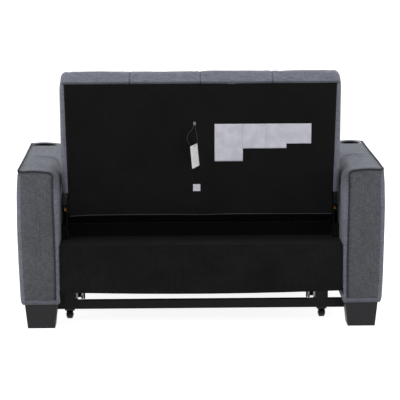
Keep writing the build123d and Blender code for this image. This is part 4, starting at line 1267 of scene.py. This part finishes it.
# %% Pull strap
STRAP_HALF, STRAP_FACE, STITCH_FACE = 0.019, -0.4055, -0.4068
STITCH_HALF, STITCH_TOP, STITCH_FOOT = 0.015, 0.004, 0.024
u, v = sheet_grid(20, 60)
strap_low, strap_high = [corner[2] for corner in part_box("pull_strap")]
belly = 0.0016 * np.sin(pi * np.clip((v - 0.22) / 0.78, 0, 1)) + 0.0004 * np.cos(pi * u) * v
down = strap_high - (strap_high - strap_low) * v
strap = np.stack([STRAP_HALF * u, STRAP_FACE - belly, down], -1)
pull_strap = add_sheet("pull_strap_webbing", strap, "pull_out", strap_webbing, (0.038, 0.110),
                       0.0024)
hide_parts("pull_strap")
for number, (x0, x1, z0, z1) in enumerate((
        (-STITCH_HALF, STITCH_HALF, STITCH_TOP, STITCH_TOP),
        (-STITCH_HALF, STITCH_HALF, STITCH_FOOT, STITCH_FOOT),
        (-STITCH_HALF, -STITCH_HALF, STITCH_TOP, STITCH_FOOT),
        (STITCH_HALF, STITCH_HALF, STITCH_TOP, STITCH_FOOT),
        (-STITCH_HALF, STITCH_HALF, STITCH_TOP, STITCH_FOOT),
        (STITCH_HALF, -STITCH_HALF, STITCH_TOP, STITCH_FOOT))):
    run = np.linspace(0, 1, 12)
    stitches = np.stack(np.broadcast_arrays(x0 + (x1 - x0) * run, STITCH_FACE,
                                            strap_high - z0 - (z1 - z0) * run), -1)
    welt(f"pull_strap_thread_{number + 1}", stitches, 0.0004, "pull_out",
         string_grey)
print("strap from Z", round(strap_high, 4), "to", round(strap_low, 4))

# %% [markdown]
# ## Black covers of the box
#
# One sheet runs over the rear deck, round the top edge of the rail and down its face, where its
# lower edge sags a little between staples. Its lower corners are turned in beside the legs.

# %% Rail cover
COVER_TOP, COVER_BACK, BOX_HALF, RAIL_SAG = 0.2993, 0.4030, 0.5035, 0.0085
LEAF_END, LEAF_HALF = 0.252, 0.4812
rail_profile = np.concatenate([
    np.stack([np.linspace(0.1860, 0.3960, 24), np.full(24, COVER_TOP)], -1),
    arc_points((COVER_BACK - 0.006, COVER_TOP - 0.006), 0.006, 80, 10, 5),
    np.stack([np.full(24, COVER_BACK), np.linspace(0.2900, 0.1350, 24)], -1),
    np.array([[0.4020, 0.1325], [0.3960, 0.1318], [0.3860, 0.1322]])])
spread = np.linspace(-1, 1, 130)
y, z = rail_profile[:, :1], rail_profile[:, 1:]
half = np.where(y < LEAF_END, LEAF_HALF, BOX_HALF)
grid = np.stack(np.broadcast_arrays(spread * half, y, z), -1)
lower = smoothstep(0.17 - grid[..., 2], 0, 0.04)
grid[..., 2] -= RAIL_SAG * (1 - spread ** 2) * lower
over, along = grid[..., 0], grid[..., 1] + grid[..., 2]
wave = 0.0012 * (0.5 + 0.5 * flat_noise(over, 0.35 * along, 0.07, 91))
wave += 0.0008 * flat_noise(over, 0.25 * along, 0.022, 92) * lower
on_face = smoothstep(grid[..., 1], 0.396, 0.402)
on_deck = 0.0006 * (0.5 + 0.5 * flat_noise(over, along, 0.09, 93)) * (1 - on_face)
grid[..., 1] += wave * on_face
grid[..., 2] += on_deck
rail_cloth = nonwoven("black_nonwoven_rail", linear(9, 9, 9), linear(27, 27, 28), 0.9)
rail_cover = add_sheet("rail_cover_sheet", grid, "root", rail_cloth, (1.007, 0.402),
                       0.0010)
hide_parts("rail_cover")
print("rail cover", grid.shape[:2], "rows and columns, sags by", 1000 * RAIL_SAG, "mm")

# %% Gussets beside the rear legs
GUSSET_OUTER, GUSSET_TOP, GUSSET_LONG = 0.5175, 0.1400, 0.0490
u, v = sheet_grid(10, 14, first=0.0)
for side, sign, inner, slope, wide, area in (("left", 1, 0.4850, 0.002, 0.034, 0.00160),
                                             ("right", -1, 0.5000, 0.0145, 0.020, 0.00055)):
    inner_x = inner + slope * v ** 1.1
    outer_x = GUSSET_OUTER + 0.0010 * v
    gusset = np.stack([sign * (inner_x + (outer_x - inner_x) * u),
                       0.4015 - 0.0030 * v + 0.0015 * np.sin(3 * u + 4 * v),
                       GUSSET_TOP - GUSSET_LONG * v], -1)
    add_sheet(f"rail_gusset_{side}", gusset, "root", black_nonwoven, (wide, 0.050),
              0.0010)
print("gussets from Z", GUSSET_TOP, "to", round(GUSSET_TOP - GUSSET_LONG, 4))

# %% [markdown]
# Under each arm a thin black cloth keeps dust out of the frame. It hardly shows, so one sheet with
# slow waves is enough. It lies just above the padding's lower edge.

# %% Dust covers under the arms
DUST_LEVEL = 0.0877
u, v = np.meshgrid(np.linspace(0.5145, 0.6385, 18), np.linspace(-0.396, 0.396, 70))
level = DUST_LEVEL + 0.0004 * smooth_noise(np.stack([u, v, 0 * u], -1), 0.06, 95)
for side, sign, _ in ARMS:
    dust = add_sheet(f"arm_dust_cover_{side}", np.stack([sign * u, v, level], -1), "root",
                     black_nonwoven, (0.124, 0.792), 0.0008)
    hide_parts("arm_dust_covers")
print("dust covers", round(1000 * (DUST_LEVEL - ARM_BOTTOM), 1), "mm above the arms' lower edge")

# %% [markdown]
# Small folded plates close the rear ends of the slides: a zinc lip and a black strap on the fixed
# rail, and a zinc bracket on the frame that moves. The steel frame sits a little to one side.

# %% Ends of the slides
FRAME_SHIFT, PLATE_TOP = 0.018, 0.1125
BOX_FACES = [[0, 1, 3, 2], [4, 6, 7, 5], [0, 4, 5, 1], [2, 3, 7, 6], [0, 2, 6, 4], [1, 5, 7, 3]]


def small_plate(name, low, high, body, finish):
    """A thin plate between two corners, its edges broken by a small bevel."""
    points = np.array([(x, y, z) for x in (low[0], high[0]) for y in (low[1], high[1])
                       for z in (low[2], high[2])])
    plate = add_piece(name, points, outward(points, BOX_FACES), body, finish)
    bevel = plate.modifiers.new("edges", "BEVEL")
    bevel.width, bevel.segments = 0.0004, 2


for side, sign, _ in ARMS:
    for part, near, far, front, back, low, body, finish in (
            ("lip", 0.4115, 0.4196, 0.1963, 0.1980, 0.0695, "root", zinc_steel),
            ("strap", 0.4050, 0.4108, 0.1963, 0.1980, 0.0695, "root", black_steel),
            ("bracket", 0.4305, 0.4397, 0.2101, 0.2120, 0.0683, "pull_out", zinc_steel)):
        left, right = sorted((FRAME_SHIFT + sign * near, FRAME_SHIFT + sign * far))
        small_plate(f"slide_{part}_{side}", (left, front, low), (right, back, PLATE_TOP), body,
                    finish)

# %% [markdown]
# ## Labels, tag and string
#
# Four sewn labels hang in a row on the cover, edge over edge, and one small square label below.
# They are left blank. A card tag hangs from a loop of string that a small grey seal holds.

# %% Blank labels
LABEL_EDGES, LABEL_TOP = (-0.050, -0.150, -0.231, -0.305, -0.393), 0.3525
LABEL_BOTTOMS = (0.2142, 0.2615, 0.2615, 0.2783)
LABELS = [(a, b, LABEL_TOP, low) for a, b, low in zip(LABEL_EDGES, LABEL_EDGES[1:], LABEL_BOTTOMS)]
LABELS.append((0.027, 0.001, 0.128, 0.102))
LABEL_OUT = 0.0996
u, v = sheet_grid(24, 24, first=0.0)
for number, (left, right, high, low) in enumerate(LABELS):
    in_row = number < len(LABEL_BOTTOMS)
    overlap, loose = (0.0006, 0.0010) if in_row else (0.0, 0.0002)
    under = 0.0014 + 0.0004 * (number % 2) if in_row else 0.0
    x = left + (right - left) * u - overlap * u
    up = high - (high - low) * v
    lift = loose * v * (0.5 + 0.5 * flat_noise(x, up, 0.035, 101 + number)) + under
    label = add_sheet(f"blank_label_{number + 1}", on_back(x, LABEL_OUT + lift, up), "backrest",
                      label_white, (abs(right - left), high - low),
                      0.0003)
    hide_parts("blank_labels")
print("blank labels", len(LABELS))

# %% [markdown]
# The string is a real curve with a round section, because a thin limp cord should bend smoothly.
# Its route goes down from the seal, through the hole of the card tag, and back up. The tag itself
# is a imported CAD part.

# %% Tag string
STRING_LONG, STRING_THICK = 0.178, 0.001
ROUTE = [(0.0230, 0.3732, 0.7266), (0.0246, 0.3735, 0.7200), (0.0310, 0.3742, 0.7095),
         (0.0405, 0.3750, 0.7000), (0.0475, 0.3758, 0.6890), (0.0485, 0.3762, 0.6760),
         (0.0440, 0.3763, 0.6645), (0.0360, 0.3756, 0.6560), (0.0282, 0.3752, 0.6520),
         (0.0198, 0.3808, 0.6520), (0.0140, 0.3825, 0.6590), (0.0120, 0.3805, 0.6710),
         (0.0124, 0.3780, 0.6840), (0.0146, 0.3760, 0.6980), (0.0172, 0.3744, 0.7110),
         (0.0190, 0.3734, 0.7205), (0.0193, 0.3732, 0.7266)]
line = bpy.data.curves.new("tag_string_line", "CURVE")
line.dimensions = "3D"
line.bevel_depth = STRING_THICK / 2
line.bevel_resolution = 3
spline = line.splines.new("NURBS")
spline.points.add(len(ROUTE) - 1)
spline.points.foreach_set("co", np.concatenate([ROUTE, np.ones((len(ROUTE), 1))], 1).ravel())
spline.order_u = 3
spline.use_endpoint_u = True
line.resolution_u = 10
line.materials.append(string_grey.material)
tag_string = bpy.data.objects.new("tag_string_line", line)
bpy.context.scene.collection.objects.link(tag_string)
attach(tag_string, "backrest")
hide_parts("tag_string")
print("string", 1000 * STRING_LONG, "mm long,", len(ROUTE), "points")

# %% [markdown]
# ## Floor and light
#
# The photograph has no visible room, only white. The floor is a pale sheet that is bright to the
# camera and keeps a soft shadow. Broad lamps above and on both sides give a plain, even light, at
# which a colour renders about as it was written.

# %% Floor
FLOOR_HALF = 30.0


def whitened(name, albedo, glow):
    """Pale diffuse surface that also glows a little to the camera, so that it reaches white."""
    board = bpy.data.materials.new(name)
    board.use_nodes = True
    nodes, links = board.node_tree.nodes, board.node_tree.links
    nodes.clear()
    out = nodes.new("ShaderNodeOutputMaterial")
    diffuse, glowing = nodes.new("ShaderNodeBsdfDiffuse"), nodes.new("ShaderNodeEmission")
    adding, mixing = nodes.new("ShaderNodeAddShader"), nodes.new("ShaderNodeMixShader")
    rays = nodes.new("ShaderNodeLightPath")
    either = nodes.new("ShaderNodeMath")
    either.operation = "MAXIMUM"
    diffuse.inputs[0].default_value = (albedo, albedo, albedo, 1)
    glowing.inputs[1].default_value = glow
    links.new(rays.outputs["Is Camera Ray"], either.inputs[0])
    links.new(rays.outputs["Is Glossy Ray"], either.inputs[1])
    links.new(diffuse.outputs[0], adding.inputs[0])
    links.new(glowing.outputs[0], adding.inputs[1])
    links.new(either.outputs[0], mixing.inputs[0])
    links.new(diffuse.outputs[0], mixing.inputs[1])
    links.new(adding.outputs[0], mixing.inputs[2])
    links.new(mixing.outputs[0], out.inputs[0])
    return board


floor_mesh = bpy.data.meshes.new("floor")
floor_mesh.from_pydata([(x * FLOOR_HALF, y * FLOOR_HALF, 0) for x, y in
                        ((-1, -1), (1, -1), (1, 1), (-1, 1))], [], [(0, 1, 2, 3)])
floor_mesh.materials.append(whitened("floor_white", 0.60, 0.90))
floor = bpy.data.objects.new("floor", floor_mesh)
bpy.context.scene.collection.objects.link(floor)
print("floor", 2 * FLOOR_HALF, "m wide")

# %% [markdown]
# The sky has two backgrounds: pure white where the camera looks straight at it, and a dimmer,
# faintly blue one that lights the sofa. White alone would light the black cloth too much.

# %% Sky
world = bpy.data.worlds.new("studio")
bpy.context.scene.world = world
world.use_nodes = True
nodes, links = world.node_tree.nodes, world.node_tree.links
sky = nodes["Background"]
seen = nodes.new("ShaderNodeBackground")
switch, path, either = (nodes.new("ShaderNodeMixShader"), nodes.new("ShaderNodeLightPath"),
                        nodes.new("ShaderNodeMath"))
either.operation = "MAXIMUM"
sky.inputs[0].default_value, sky.inputs[1].default_value = (0.97, 0.98, 1.0, 1), 0.40
seen.inputs[0].default_value, seen.inputs[1].default_value = (1, 1, 1, 1), 1.0
links.new(path.outputs["Is Camera Ray"], either.inputs[0])
links.new(path.outputs["Is Transmission Ray"], either.inputs[1])
links.new(either.outputs[0], switch.inputs[0])
links.new(sky.outputs[0], switch.inputs[1])
links.new(seen.outputs[0], switch.inputs[2])
links.new(switch.outputs[0], nodes["World Output"].inputs[0])
print("sky light", sky.inputs[1].default_value)

# %% Lamps
LAMPS = (("lamp_top", (0.0, 0.2, 3.6), (0, 0.1, 0.4), 3.2, 23.0),
         ("lamp_rear", (1.2, 4.2, 3.4), (0, 0, 0.5), 2.4, 70.0),
         ("lamp_front", (-1.8, -4.4, 2.6), (0, 0, 0.4), 2.4, 64.0),
         ("lamp_side", (-4.6, 1.0, 1.6), (0, 0, 0.4), 2.0, 60.0),
         ("lamp_other_side", (4.6, 0.9, 1.6), (0, 0, 0.4), 2.0, 60.0))
for name, place, target, size, power in LAMPS:
    lamp = bpy.data.objects.new(name, bpy.data.lights.new(name, "AREA"))
    lamp.data.shape, lamp.data.size, lamp.data.energy = "SQUARE", size, power
    lamp.location = place
    lamp.rotation_euler = (Vector(target) - Vector(place)).to_track_quat("-Z", "Y").to_euler()
    bpy.context.scene.collection.objects.link(lamp)
print("lamps", len(LAMPS), "with", sum(lamp[4] for lamp in LAMPS), "W")
